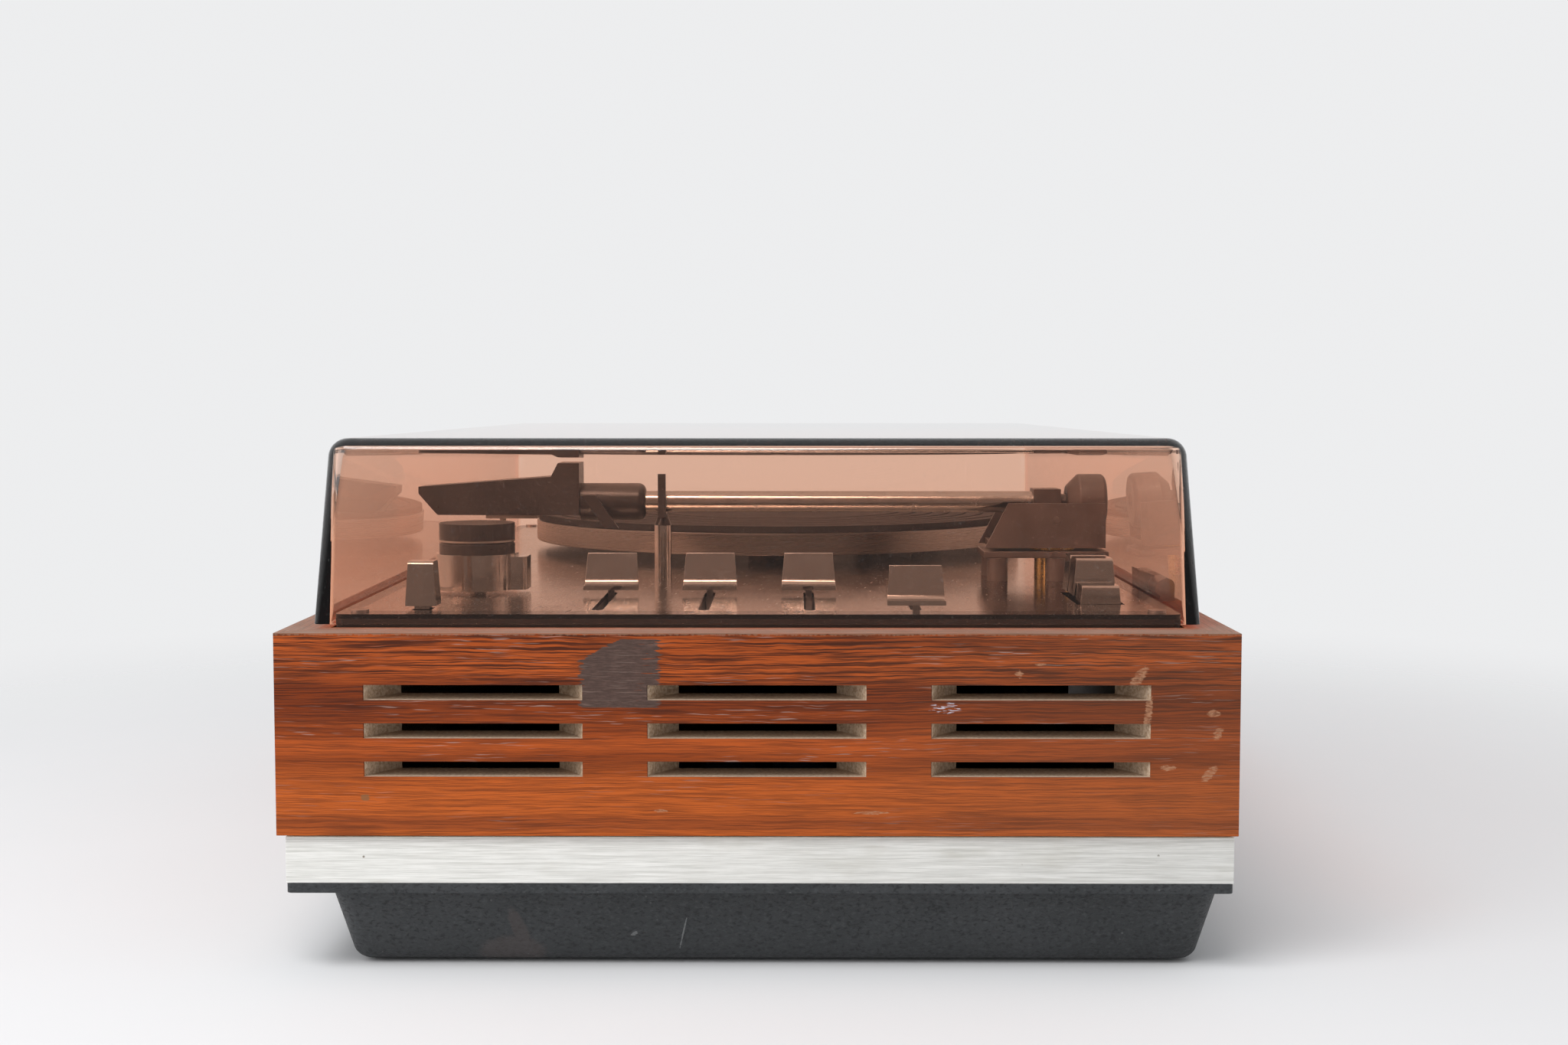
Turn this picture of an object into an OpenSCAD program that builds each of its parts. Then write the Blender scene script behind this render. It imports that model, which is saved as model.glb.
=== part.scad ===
// Compact stereo record player: veneered cabinet on a black tray, idler-driven platter,
// tone arm, slider and key controls, and a hinged smoked cover.
// Millimetres, +Z up. The origin is the middle of the footprint on the table.
// The front is -Y and the tone arm stands on the +X side.

/* [Cabinet] */
// Width of the cabinet, left to right
cabinet_w = 460; // [450:1:500]
// Depth of the cabinet, front to rear
cabinet_d = 310; // [304:1:340]
// Height of the wooden panels
panel_h = 65.7; // [62:0.1:80]
// Thickness of the wooden panels
panel_t = 15; // [14:0.5:16.5]
// Leg of the triangular glue blocks in the corners
block_leg = 20; // [19:0.5:24]
// Width of the rails that carry the deck
rail_w = 10; // [7:0.5:12]
// Height of the rails that carry the deck
rail_h = 8.4; // [5:0.2:9]

/* [Vent slots] */
// Slots side by side in the arm-side panel
vent_cols = 3; // [1:1:3]
// Slots above each other
vent_rows = 3; // [1:1:3]
// Spacing of the slots along the panel
vent_pitch_y = 91.2; // [80:0.1:92]
// Spacing of the slots up the panel
vent_pitch_z = 12.4; // [9:0.1:14]
// Height of one slot, the thickness of the saw that plunges it
vent_h = 4.9; // [3:0.1:6]
// Radius of the plunging saw
vent_saw_r = 37.2; // [34:0.1:40]
// Distance of the saw's axis outside the panel's face
vent_saw_out = 11.7; // [8:0.1:14]
// Drop from the rim of the cabinet to the first row
vent_drop = 19.2; // [16:0.1:22]

/* [Base] */
// Height of the rubber feet
foot_h = 1; // [1:0.1:6]
// Diameter of the rubber feet
foot_d = 18; // [12:1:26]
// Distance of the feet from the edges of the tray's floor
foot_inset = 24; // [18:1:40]
// Height of the tray below its flange
tray_h = 26.2; // [24:0.1:36]
// Wall of the tray
tray_wall = 2.4; // [1.6:0.1:4]
// Set-back of the tray under the cabinet's sides
tray_side_inset = 8; // [6:0.5:14]
// Set-back of the tray under the cabinet's front
tray_front_inset = 14; // [8:0.5:24]
// Set-back of the tray under the cabinet's rear
tray_rear_inset = 3; // [3:0.1:10]
// How much narrower each side of the tray is at its floor
tray_taper = 5.5; // [3:0.5:9]
// Radius of the tray's upright corners
tray_corner_r = 8; // [8:0.5:16]
// Radius of the tray's bottom edge
tray_edge_r = 5.5; // [3:0.1:7]
// Thickness of the tray's flange
flange_t = 3.2; // [1.5:0.1:4]
// Radius of the screw bosses in the tray
boss_r = 5.5; // [5:0.1:7]
// Radius of the tray screws' shanks
tray_screw_r = 1.9; // [1.5:0.1:2.2]
// Radius of the tray screws' heads
tray_screw_head_r = 3.5; // [2.8:0.1:3.8]
// Height of the screw heads
screw_head_h = 2.2; // [1.5:0.1:3]
// Grip of the tray screws in the base frame
tray_screw_grip = 11; // [6:0.5:13]
// Height of the aluminium band
band_h = 15.3; // [13.5:0.1:22]
// Thickness of the aluminium band
band_t = 1.2; // [0.8:0.1:2]
// Set-back of the band under the cabinet's sides
band_side_inset = 1.5; // [0.5:0.1:3]
// Set-back of the band under the cabinet's front
band_front_inset = 2.5; // [0.5:0.1:4]
// Set-back of the band under the cabinet's rear
band_rear_inset = 1; // [0.5:0.1:3]
// Dark joint between the band and the wood
shadow_gap = 0.6; // [0.3:0.1:1.5]
// Width of the base frame's ring
frame_w = 28; // [24:1:34]

/* [Deck] */
// Height of the deck's surface above the rim of the cabinet
deck_rise = 4.3; // [2.5:0.1:5.5]
// Thickness of the bright deck plate
plate_t = 1.5; // [1:0.1:2.5]
// Thickness of the board under the plate
board_t = 10; // [9:0.5:12]
// Gap between the deck and the cabinet all round
deck_clear = 1; // [0.5:0.1:2]
// Radius of the deck's corners
deck_corner_r = 3; // [1:0.5:6]
// Distance of the deck screws from the deck's edges
deck_screw_inset = 7; // [6:0.5:7.5]
// Radius of the deck screws' shanks
deck_screw_r = 1.6; // [1.2:0.1:1.8]
// Grip of the deck screws in the corner blocks
deck_screw_grip = 8; // [5:0.5:14]

/* [Cover] */
// Set-back of the cover from the cabinet's sides
cover_side_inset = 10.3; // [9:0.1:11.5]
// Set-back of the cover from the cabinet's front
cover_front_inset = 10.3; // [8:0.1:11]
// Set-back of the cover from the cabinet's rear
cover_rear_inset = 10.8; // [10:0.1:11]
// Gap under the closed cover
cover_gap = 1.6; // [0.3:0.1:2]
// Height of the cover
cover_h = 60.4; // [60:0.1:75]
// Wall of the cover
cover_wall = 3; // [2:0.1:3.5]
// Draft of the cover's walls, in degrees
cover_draft = 3.1; // [1:0.1:4]
// Gap between the deck's edge and the cover's foot, at the front and rear
cover_deck_gap = 1; // [0.9:0.1:1.5]
// Radius of the cover's upright corners at the top
cover_corner_r = 8; // [7:0.5:12]
// Radius of the cover's upright corners at the foot
cover_foot_r = 2.5; // [1.5:0.1:4]
// Radius of the cover's top edge
cover_edge_r = 6.5; // [5:0.1:7]
// Radius of the edges inside the cover
cover_core_r = 1.5; // [0.8:0.1:3]
// Distance of each hinge from the cabinet's side
hinge_in_x = 110; // [90:1:150]
// Distance of the hinge axis from the cabinet's rear face
hinge_in = 5; // [4.5:0.1:5.5]
// Height of the hinge axis above the rim
hinge_up = 5.2; // [5:0.1:6]
// Radius of the hinge knuckles
knuckle_r = 3.2; // [2.6:0.1:3.3]
// Width of one hinge knuckle
knuckle_w = 14; // [8:1:20]
// Side gap between the knuckles
knuckle_gap = 0.4; // [0.3:0.1:1]
// Radius of the hinge pins
hinge_pin_r = 1.5; // [1:0.1:1.8]
// Thickness of the hinge leaf
leaf_t = 1.4; // [1:0.1:1.6]

/* [Platter and drive] */
// Platter centre left of the middle, as a share of the cabinet's width
platter_share = 0.1761; // [0.172:0.0001:0.19]
// Platter centre, in front of or behind the middle
platter_y = 4.3; // [-4:0.1:10]
// Radius of the platter
platter_r = 115; // [105:0.5:120]
// Depth of the platter's rim
platter_h = 9.4; // [9:0.1:12]
// Thickness of the platter's rim wall
platter_wall = 4; // [3:0.1:6]
// Thickness of the platter's top
platter_top_t = 3; // [2:0.1:3.4]
// Running gap between the deck and the platter's rim
platter_lift = 4.1; // [3.6:0.1:6]
// Radius of the platter's hub
hub_r = 14; // [11:0.5:18]
// Thickness of the rubber mat
mat_t = 3; // [2:0.1:4]
// Depth of the dished label area in the mat
mat_dish = 0.6; // [0.3:0.1:1]
// How much the mat stays inside the platter's edge
mat_inset = 1; // [0.5:0.1:4]
// Radius of the record spindle
spindle_r = 3.55; // [3.5:0.01:3.6]
// Height of the spindle above the mat
spindle_h = 9; // [7:0.5:10]
// Radius of the platter shaft
shaft_r = 4; // [3.7:0.1:5]
// Depth of the platter shaft below the deck
shaft_depth = 40; // [30:1:50]
// Radius of the bearing's tube
bearing_r = 9; // [7:0.5:11]
// Radius of the bearing's flange
bearing_flange_r = 20; // [15:0.5:26]
// Thickness of the bearing's flange
bearing_flange_t = 2.6; // [1.5:0.1:2.8]
// Radial clearance of a shaft in its bush
shaft_clear = 0.05; // [0.02:0.01:0.1]
// Radius of the idler wheel
idler_r = 20; // [16:0.5:24]
// Thickness of the idler's rubber edge
idler_t = 4; // [3:0.1:4.4]
// Direction of the idler from the platter's centre, in degrees
idler_angle = 135; // [120:1:150]
// Radius of the idler's axle
idler_axle_r = 2; // [1.5:0.1:2.5]
// Running gap between the rim, the idler and the pulley
drive_gap = 0.15; // [0.1:0.01:0.3]
// Radius of the pulley's slow step
pulley_r = 2.57; // [2.2:0.01:3]
// Radius of the pulley's fast step
pulley_fast_r = 3.47; // [3.1:0.01:4]
// Direction of the pulley from the idler, in degrees
pulley_angle = 250; // [240:1:270]
// Width of the motor's square core
motor_w = 56; // [46:1:64]
// Height of the motor's core
motor_core_h = 18; // [12:1:24]
// Radius of the motor's end bells
motor_bell_r = 24; // [18:0.5:27]
// Height of each end bell
motor_bell_h = 10; // [6:0.5:11]
// Length of the rubber stand-offs that carry the motor
grommet_h = 14; // [12.5:0.5:18]
// Radius of the rubber stand-offs
grommet_r = 4.5; // [3.5:0.1:6]

/* [Tone arm] */
// Arm pivot right of the middle, as a share of the cabinet's width
arm_share = 0.1891; // [0.186:0.0001:0.196]
// Distance of the arm pivot from the cabinet's rear
arm_in_y = 41.6; // [40:0.1:45]
// Height of the tube's axis above the deck
arm_up = 30; // [29:0.1:31]
// Height of the pitch axis above the deck
pitch_up = 23.4; // [22:0.1:24]
// Radius of the arm tube
tube_r = 4.1; // [3:0.1:4.5]
// Wall of the arm tube
tube_wall = 0.6; // [0.4:0.1:1]
// Distance of the head's nose from the cabinet's front
nose_in_y = 20.4; // [19:0.1:28]
// Distance of the stylus behind the nose
stylus_back = 32; // [30:0.5:34]
// Length of the head shell up to its collar
head_l = 52; // [46:0.5:54]
// Length of the collar
collar_l = 11; // [8:0.5:14]
// Length of the sleeve behind the collar
sleeve_l = 25.5; // [18:0.5:30]
// Radius of the sleeve
sleeve_r = 7.2; // [6:0.1:8]
// Width of the head shell at its collar
head_w = 17; // [15:0.5:20]
// Width of the head shell at its nose
nose_w = 12; // [9:0.5:14]
// Height of the head shell at its collar
head_h = 15; // [13:0.5:16]
// Height of the head shell at its nose
nose_h = 11; // [9:0.5:12]
// Drop from the tube's axis to the head's underside
head_drop = 5; // [4:0.1:6]
// Height of the tab on the collar above the tube's axis
tab_up = 15.3; // [12:0.1:15.5]
// Width of the cartridge
cartridge_w = 9; // [7:0.5:10]
// Gap between the resting stylus and the mat
stylus_clear = 2.2; // [2:0.1:3]
// Width of the finger-lift bar
lift_w = 5.4; // [3:0.1:6]
// Thickness of the finger-lift bar
lift_t = 2.4; // [1.5:0.1:3]
// Inner width of the yoke
yoke_w = 23.4; // [22.8:0.1:24]
// Thickness of the yoke's cheeks
cheek_t = 1.6; // [1.2:0.1:2]
// Height of the arm's base plate above the deck
arm_plate_up = 11.4; // [10:0.1:11.6]
// Thickness of the arm's base plate
arm_plate_t = 2.5; // [1.5:0.1:4]
// Length of the base plate in front of the pivot
arm_plate_front = 28; // [26.5:0.5:34]
// Length of the base plate behind the pivot
arm_plate_rear = 20.2; // [19.6:0.1:20.6]
// Radius of the columns under the base plate
column_r = 4; // [3:0.1:4.2]
// Radius of the arm's vertical bush
bush_r = 6.8; // [5.5:0.1:7]
// Radius of the arm's vertical shaft
arm_shaft_r = 4; // [3:0.1:4.5]
// Radius of the arm's pitch pin
pitch_pin_r = 1.5; // [1:0.1:2]
// Radius of the counterweight
weight_r = 10.8; // [9:0.1:11.2]
// Length of the counterweight
weight_l = 15.1; // [12:0.1:15.4]
// Length of the counterweight's front taper
weight_taper = 4.5; // [2:0.5:6]
// Chamfer at the counterweight's rear
weight_chamfer = 1.2; // [0.5:0.1:3]
// Distance from the pivot to the counterweight
weight_back = 5.2; // [4.8:0.1:6]
// Radius of the rod that carries the counterweight
tail_r = 3; // [2:0.1:3.5]
// Distance of the arm rest behind the head's sleeve
rest_behind = 6.5; // [5:0.1:12]
// Radius of the arm rest's post
rest_post_r = 3.35; // [2.5:0.05:4]
// Height of the arm rest's metal post above the deck
rest_post_h = 20.7; // [16:0.1:22]
// Height of the arm rest's prong above the deck
prong_up = 41; // [38:0.5:44]
// Gap between the arm tube and its rest
rest_gap = 0.3; // [0.2:0.05:0.5]

/* [Controls] */
// Spacing of the sliders
slider_pitch = 35.6; // [30:0.1:38]
// Travel of the sliders
slider_travel = 50; // [40:1:52]
// Inner end of the sliders' travel, from the cabinet's right side
slider_in_x = 82; // [78:0.5:84]
// Width of a slider knob at its foot
knob_w = 19.7; // [16:0.1:22]
// Width of a slider knob at its top
knob_top_w = 17.6; // [14:0.1:18]
// Height of a slider knob
knob_h = 12.7; // [10:0.1:15]
// Gap between a slider knob and the deck
knob_gap = 1.8; // [1:0.1:3]
// Thickness of a slider knob's wing
knob_t = 2.6; // [1.8:0.1:3.2]
// Width of a slider's stem
stem_w = 2.4; // [1.6:0.1:3]
// Length of a slider's stem along its travel
stem_l = 6; // [4:0.5:8]
// Side clearance of a stem in its slot
stem_clear = 0.7; // [0.4:0.1:1]
// Width of a slide potentiometer
pot_w = 12; // [9:0.5:16]
// Height of a slide potentiometer
pot_h = 8; // [6:0.5:8.5]
// Nearest key, from the cabinet's right side
key_in_x = 52.4; // [46:0.1:60]
// Keys, from the cabinet's rear
key_in_y = 37.8; // [37:0.1:43]
// Spacing of the keys
key_pitch = 14; // [13:0.1:15]
// Size of a key along the row
key_l = 12; // [10:0.1:12.6]
// Width of a key at its foot
key_w = 15; // [12:0.1:16]
// Width of a key at its top
key_top_w = 12.8; // [10:0.1:14]
// Height of a raised key above the deck
key_up = 14.6; // [12:0.1:16]
// Travel of the keys
key_travel = 8.2; // [4:0.1:9]
// Height of a key cap
key_cap_h = 13; // [12.5:0.1:14]
// Gap round the keys in the deck
key_gap = 0.7; // [0.5:0.1:1.2]
// Selector, from the cabinet's right side
selector_in_x = 90; // [80:0.5:96]
// Selector, from the cabinet's front
selector_in_y = 51; // [47:0.5:55]
// Radius of the selector's skirt
skirt_r = 15; // [12:0.5:16]
// Height of the selector's skirt
skirt_h = 13; // [9:0.1:16]
// Reach of the skirt's nose from the axis
skirt_nose = 19; // [17:0.5:22]
// Radius of the selector's cap
cap_r = 13.7; // [10:0.1:14.5]
// Height of the selector's cap
cap_h = 11; // [8:0.1:14]
// Radius of the selector's shaft
selector_shaft_r = 3; // [2:0.1:4]
// Gap between the selector and the deck
selector_gap = 1.2; // [0.6:0.1:2]
// Power key, from the cabinet's right side
power_in_x = 32; // [30:0.5:40]
// Power key, from the cabinet's front
power_in_y = 42.3; // [39:0.1:49]
// Width of the power key at its foot
power_w = 10.3; // [8:0.1:12]
// Width of the power key at its top
power_top_w = 8.5; // [6:0.1:10]
// Size of the power key front to back of its tilt
power_l = 9; // [6:0.5:9]
// Height of the power key above the deck
power_up = 16.3; // [12:0.1:20]
// Gap between the power key and the deck
power_gap = 1.4; // [1.2:0.1:2]

/* [Inside] */
// Length of the amplifier board
amp_l = 190; // [150:1:210]
// Width of the amplifier board
amp_w = 110; // [80:1:120]
// Thickness of the amplifier board
amp_t = 1.6; // [1:0.1:2.4]
// Height of the posts under the amplifier board
amp_post_h = 8; // [5:0.5:14]
// Middle of the amplifier board, from the cabinet's right side
amp_in_x = 110; // [105:1:120]
// Radius of the filter capacitors
cap_can_r = 11; // [7:0.5:13]
// Height of the filter capacitors
cap_can_h = 38; // [25:1:45]
// Width of the transformer's core
core_w = 62; // [50:1:70]
// Height of the transformer's core
core_h = 52; // [42:1:60]
// Stack of the transformer's core
core_t = 24; // [16:1:32]
// Middle of the transformer, from the cabinet's left side
core_in_x = 80; // [70:1:110]
// Middle of the transformer, from the cabinet's front
core_in_y = 95; // [85:1:125]
// Width of the socket plate in the rear panel
socket_w = 110; // [96:1:130]
// Height of the socket plate
socket_h = 34; // [28:1:38]
// Thickness of the socket plate
socket_t = 2; // [1:0.1:3]
// Middle of the socket plate, from the cabinet's right side
socket_in_x = 140; // [110:1:160]
// Radius of a socket's collar
din_r = 8; // [7:0.1:9]
// Radius of the mains gland
gland_r = 7; // [5:0.1:8]

/* [Details] */
// Corner radius of the tray's flange
flange_corner_r = 2; // [0.5:0.5:4]
// Floor of the tray screws' bosses above their heads
boss_floor = 6; // [4:0.5:10]
// Inset of the posts under the amplifier board
amp_post_inset = 8; // [6:0.5:12]
// Radius of the posts under the amplifier board
amp_post_r = 4; // [3:0.5:5]
// Lap of the socket plate on the rear panel
socket_lap = 5; // [3:0.5:6]
// Height of the deck screws' heads
deck_screw_head_h = 0.8; // [0.5:0.1:1.5]
// Radius of the deck screws' heads
deck_screw_head_r = 3; // [2.2:0.1:3.4]
// Floor of the bearing housing
bearing_floor_t = 4; // [2:0.5:6]
// Corner radius of the motor's core
motor_corner_r = 5; // [2:0.5:8]
// Radius of the motor's shaft
motor_shaft_r = 1.6; // [1.2:0.1:2]
// Set-in of the stand-offs from the motor's edges
grommet_inset = 0.5; // [0.2:0.1:1.5]
// Radius of the groove round the stand-offs
grommet_groove_r = 1.4; // [0.8:0.1:2]
// Distance of the idler bracket's post from the idler
bracket_back = 38; // [34:1:44]
// Turn of the idler bracket's post about the platter, in degrees
bracket_turn = 8; // [6:1:10]
// Radius of the idler bracket's post
bracket_post_r = 5; // [4:0.5:6]
// Thickness of the idler bracket's arm
idler_arm_t = 1.4; // [1:0.1:1.6]
// Half width of the idler bracket's arm
idler_arm_r = 4; // [3:0.5:5]
// Gap between the idler and its bracket's arm
idler_float = 0.5; // [0.3:0.1:0.8]
// Gap between the idler and the platter's web
idler_head = 0.8; // [0.5:0.1:1]
// How far the idler's axle stands above the wheel
axle_proud = 0.4; // [0.1:0.1:0.4]
// Width of the idler's tyre
idler_tyre = 4; // [3:0.5:6]
// Radius of the idler's hub
idler_hub_r = 6; // [5:0.5:8]
// Depth of the idler's dished faces
idler_dish = 1; // [0.5:0.1:1.4]
// Radius of the pulley's hole in the deck
pulley_hole_r = 9; // [6:0.5:12]
// Gap between the deck and the pulley
pulley_gap = 1; // [0.5:0.1:1.5]
// Height of the step between the pulley's diameters
pulley_step = 0.6; // [0.4:0.1:1]
// Radius of the mat's label area, as a share of the mat's
label_share = 0.44; // [0.4:0.01:0.48]
// Radius of the mat's first groove, as a share of the mat's
groove_share = 0.51; // [0.5:0.01:0.6]
// Spacing of the mat's grooves
groove_pitch = 8; // [6:0.5:12]
// Width of the mat's grooves
groove_w = 2; // [1:0.1:3]
// Depth of the mat's grooves
groove_t = 0.7; // [0.4:0.1:1.2]
// Radius of the collar under the platter
spindle_collar_r = 9; // [7:0.5:11]
// Thickness of the collar under the platter
spindle_collar_t = 2; // [1:0.1:2.2]
// Gap between the platter shaft and the bearing's floor
thrust_gap = 0.1; // [0.05:0.05:0.3]
// Lap of the arm's base plate round the yoke
arm_plate_lap = 1; // [0.5:0.1:2]
// Length of the arm's bush below the board
bush_below = 4; // [3:0.5:8]
// Thickness of the bush's flange
bush_flange_t = 1; // [0.6:0.1:1.4]
// Width of the bush's flange
bush_flange_w = 2; // [1:0.1:3]
// Length of the arm's shaft below the board
arm_shaft_below = 2; // [1:0.5:3]
// Set-back of the columns from the plate's front
column_set = 1.4; // [0.5:0.1:3]
// Set-in of the columns from the yoke's cheeks
column_in = 0.5; // [0:0.1:2]
// Set-back of the cheeks' toes from the plate's front
cheek_toe = 0.4; // [0.2:0.1:2]
// Reach of the cheeks' top in front of the pivot
cheek_top = 18.6; // [14:0.1:22]
// Set-in of the cheeks from the plate's rear
cheek_heel = 1.2; // [0.8:0.1:2]
// Thickness of the yoke's base
yoke_base_t = 2.4; // [1.5:0.1:2.6]
// Width of the block at the pivot
block_w = 12; // [9:0.5:16]
// Length of the block in front of the pivot
block_front = 8; // [6:0.5:12]
// Length of the block behind the pivot
block_rear = 2.6; // [2:0.1:2.8]
// Depth of the block below the pitch axis
block_below = 4; // [3:0.1:5]
// Height of the block above the tube
block_above = 1; // [0.5:0.1:2]
// Hollow at the rear of the counterweight
weight_hollow = 3; // [2:0.5:5]
// Height of the blunt nose of the head
nose_lip = 2.7; // [1.5:0.1:4]
// Length of the chin under the nose
chin_l = 7.5; // [5:0.5:9]
// Height of the chin's bevel
chin_h = 1.5; // [0.8:0.1:2.5]
// Length of the collar's tab, as a share of the collar
tab_share = 0.75; // [0.5:0.05:0.9]
// Rounding of the sleeve's end
sleeve_round = 3; // [1:0.5:4]
// Length of the cartridge in front of the stylus
cartridge_front = 6; // [4:0.5:8]
// Length of the cartridge behind the stylus
cartridge_rear = 14; // [10:0.5:14]
// Drop of the cartridge below the head
cartridge_drop = 1.5; // [1:0.1:2]
// Room round the cartridge in the head, front and rear
cavity_room = 1; // [0.5:0.1:1.5]
// Height of the cavity above the tube's axis
cavity_up = 3; // [2:0.1:3.5]
// Radius of the stylus at its root
stylus_root_r = 1.4; // [1:0.1:2]
// Radius of the stylus at its tip
stylus_tip_r = 0.2; // [0.1:0.05:0.4]
// Start of the finger lift behind the collar
lift_from = 1; // [0.5:0.5:4]
// Run of the finger lift along the arm
lift_run = 9; // [6:0.5:10]
// Top of the finger lift above the tube's axis
lift_up = 3; // [2:0.1:4]
// Drop of the finger lift below the head
lift_down = 5; // [3:0.1:5.5]
// Width of the arm rest's prong
prong_w = 3; // [2:0.1:4]
// Thickness of the arm rest's prong
prong_t = 2; // [1.2:0.1:3]
// Gap between the prong and the tube
prong_gap = 0.6; // [0.4:0.1:1]
// Thickness of the arm rest's ledge
ledge_t = 1.6; // [1:0.1:2]
// Radius of the cone's tip under the ledge
cone_tip_r = 1.6; // [1:0.1:2.5]
// Offset of the middle of the sliders towards the front
slider_shift = 0.6; // [0:0.1:2]
// Lean of a slider knob's face
knob_lean = 2.4; // [1.5:0.1:3]
// Radius of the curl at a slider knob's foot
knob_curl = 4.2; // [3:0.1:5]
// Angle at which the curl leaves a slider knob's face, in degrees
curl_from = 185; // [180:1:195]
// Length of the lip at a slider knob's foot
knob_lip = 2.4; // [1:0.1:3]
// Bevel at a slider knob's top
knob_bevel = 0.8; // [0.4:0.1:1.2]
// Offset of a slider knob's face from its stem
knob_set = 2; // [1:0.1:3]
// Thickness of the lip, as a share of the wing's
lip_share = 0.6; // [0.5:0.05:0.8]
// Height at which the stem enters a slider knob
stem_lap = 1.2; // [0.8:0.1:1.4]
// Floor of a slide potentiometer
pot_floor = 2; // [1:0.5:3]
// Length of a potentiometer beyond its slot
pot_end = 4; // [3:0.5:5]
// Room round the potentiometers in the board
pot_room = 2; // [1:0.5:3]
// Width of a key's stem
key_stem = 4; // [3:0.5:5]
// Rounding of the keys' top edges
key_round = 1.5; // [1:0.1:2]
// Height of the key switch bank
bank_h = 24; // [22:1:30]
// Wall of the key switch bank
bank_wall = 3; // [2:0.5:4]
// Depth of the well in the key switch bank
bank_well = 8; // [7:0.5:9]
// Floor of the key switch bank
bank_floor = 2; // [1:0.5:3]
// Height of the selector switch
switch_h = 16; // [14:1:22]
// Radius of the selector switch
switch_r = 14; // [10:0.5:16]
// Depth of the selector switch's bore
switch_bore = 12; // [9:1:13]
// Half width of the skirt's pointer
pointer_half = 7; // [4:0.5:9]
// Step from the skirt's top down to its pointer
pointer_step = 1; // [0.5:0.1:3]
// Rounding of the skirt's pointer
pointer_round = 3; // [1:0.5:3.5]
// Height of the cap's ring groove, as a share of the cap's
ring_share = 0.32; // [0.2:0.01:0.6]
// Height of the ring groove
ring_h = 0.8; // [0.5:0.1:1.5]
// Depth of the ring groove
ring_t = 0.4; // [0.2:0.1:0.8]
// Half width of the power switch's window
power_half = 9; // [8:0.5:10]
// Depth of the power key's tilt axis below the deck
power_axis_down = 5; // [4:0.1:6]
// Width of the power key's stem
power_stem = 5; // [4:0.1:5.5]
// Play of the power key's stem in its slot
power_play = 1.8; // [1.5:0.1:2.2]
// Radius of the power key's pin
power_pin_r = 1.2; // [0.8:0.1:1.5]
// Length of the power key's pin
power_pin_l = 13; // [9:0.5:14]
// Gap round the power switch in its window
switch_gap = 0.5; // [0.3:0.1:1]
// Rounding of the transformer's winding
winding_round = 5; // [2:0.5:7]
// Distance of the capacitors from the board's edge
can_inset = 24; // [16:1:40]
// Gap between the capacitors
can_gap = 6.6; // [2:0.1:10]
// First socket, from the socket plate's end
din_first = 18; // [14:1:20]
// Spacing of the sockets
din_pitch = 24; // [20:1:26]
// Length of a socket's collar
din_collar = 3; // [2:0.5:4]
// Length of a socket's body behind the plate
din_body = 9; // [6:0.5:14]
// Step from a collar to its body
din_step = 2; // [1:0.1:2.5]
// Radius of the ring of contact holes
din_ring_r = 3.4; // [3:0.1:3.6]
// Radius of a contact hole
din_pin_r = 0.9; // [0.6:0.1:1]
// Depth of the contact holes in the body
din_pin_l = 6; // [4:0.5:8]
// Mains gland, from the socket plate's end
gland_set = 16; // [14:1:20]
// Length of the gland outside the plate
gland_out = 8; // [5:0.5:12]
// Length of the gland behind the plate
gland_in = 5; // [3:0.5:10]
// Radius of the gland's hole
cord_hole_r = 3; // [2:0.1:3.4]
// Half height of the cover's lugs at the hinge axis
lug_half = 2.6; // [2:0.1:2.6]
// Rise of the cover's lugs on its rear wall
lug_rise = 6; // [4:0.5:12]
// Half length of a hinge leaf
leaf_half = 22.4; // [18:0.1:30]

/* [Hidden] */
$fn = 64;
// Overlap of a cutting shape past the face that it cuts
cut = 1;
// Thickness of the flat ends of drafted shapes
skin = 0.01;
// Clearance of a screw in its hole
screw_clear = 0.05;
// Side gap between pieces that are dropped into place
seat_clear = 0.3;

// Heights, from the table up
z_tray = foot_h;
z_flange = z_tray + tray_h;
z_frame = z_flange + flange_t;
z_wood = z_frame + band_h + shadow_gap;
z_rim = z_wood + panel_h;
z_deck = z_rim + deck_rise;
z_plate = z_deck - plate_t;
z_board = z_plate - board_t;
z_platter = z_deck + platter_lift;
z_platter_top = z_platter + platter_h;
z_web = z_platter_top - platter_top_t;
z_mat = z_platter_top + mat_t;
z_collar = z_deck + bearing_flange_t + seat_clear;
z_hub = z_collar + spindle_collar_t;
z_arm = z_deck + arm_up;
z_pitch = z_deck + pitch_up;
z_arm_plate = z_deck + arm_plate_up;
z_cover = z_rim + cover_gap;
z_cover_top = z_cover + cover_h;

// Edges of the cabinet and of the opening inside it
half_w = cabinet_w / 2;
half_d = cabinet_d / 2;
in_w = half_w - panel_t;
in_d = half_d - panel_t;
deck_w = in_w - deck_clear;
deck_d = in_d - deck_clear;
deck_screw_ats = [for (x = [-1, 1], y = [-1, 1])
    [x * (deck_w - deck_screw_inset), y * (deck_d - deck_screw_inset)]];

// Places on the deck and inside the cabinet
platter_x = -half_step(cabinet_w * platter_share);
arm_x = half_step(cabinet_w * arm_share);
arm_y = half_d - arm_in_y;
slider_x = half_w - slider_in_x;
key_x = half_w - key_in_x;
key_y = half_d - key_in_y;
selector_x = half_w - selector_in_x;
selector_y = -half_d + selector_in_y;
power_x = half_w - power_in_x;
power_y = -half_d + power_in_y;
amp_x = half_w - amp_in_x;
core_x = -half_w + core_in_x;
core_y = -half_d + core_in_y;
socket_x = half_w - socket_in_x;
hinge_x = half_w - hinge_in_x;

// Outline of the band as [left, right, front, rear]
band = [-half_w + band_side_inset, half_w - band_side_inset,
    -half_d + band_front_inset, half_d - band_rear_inset];
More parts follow.
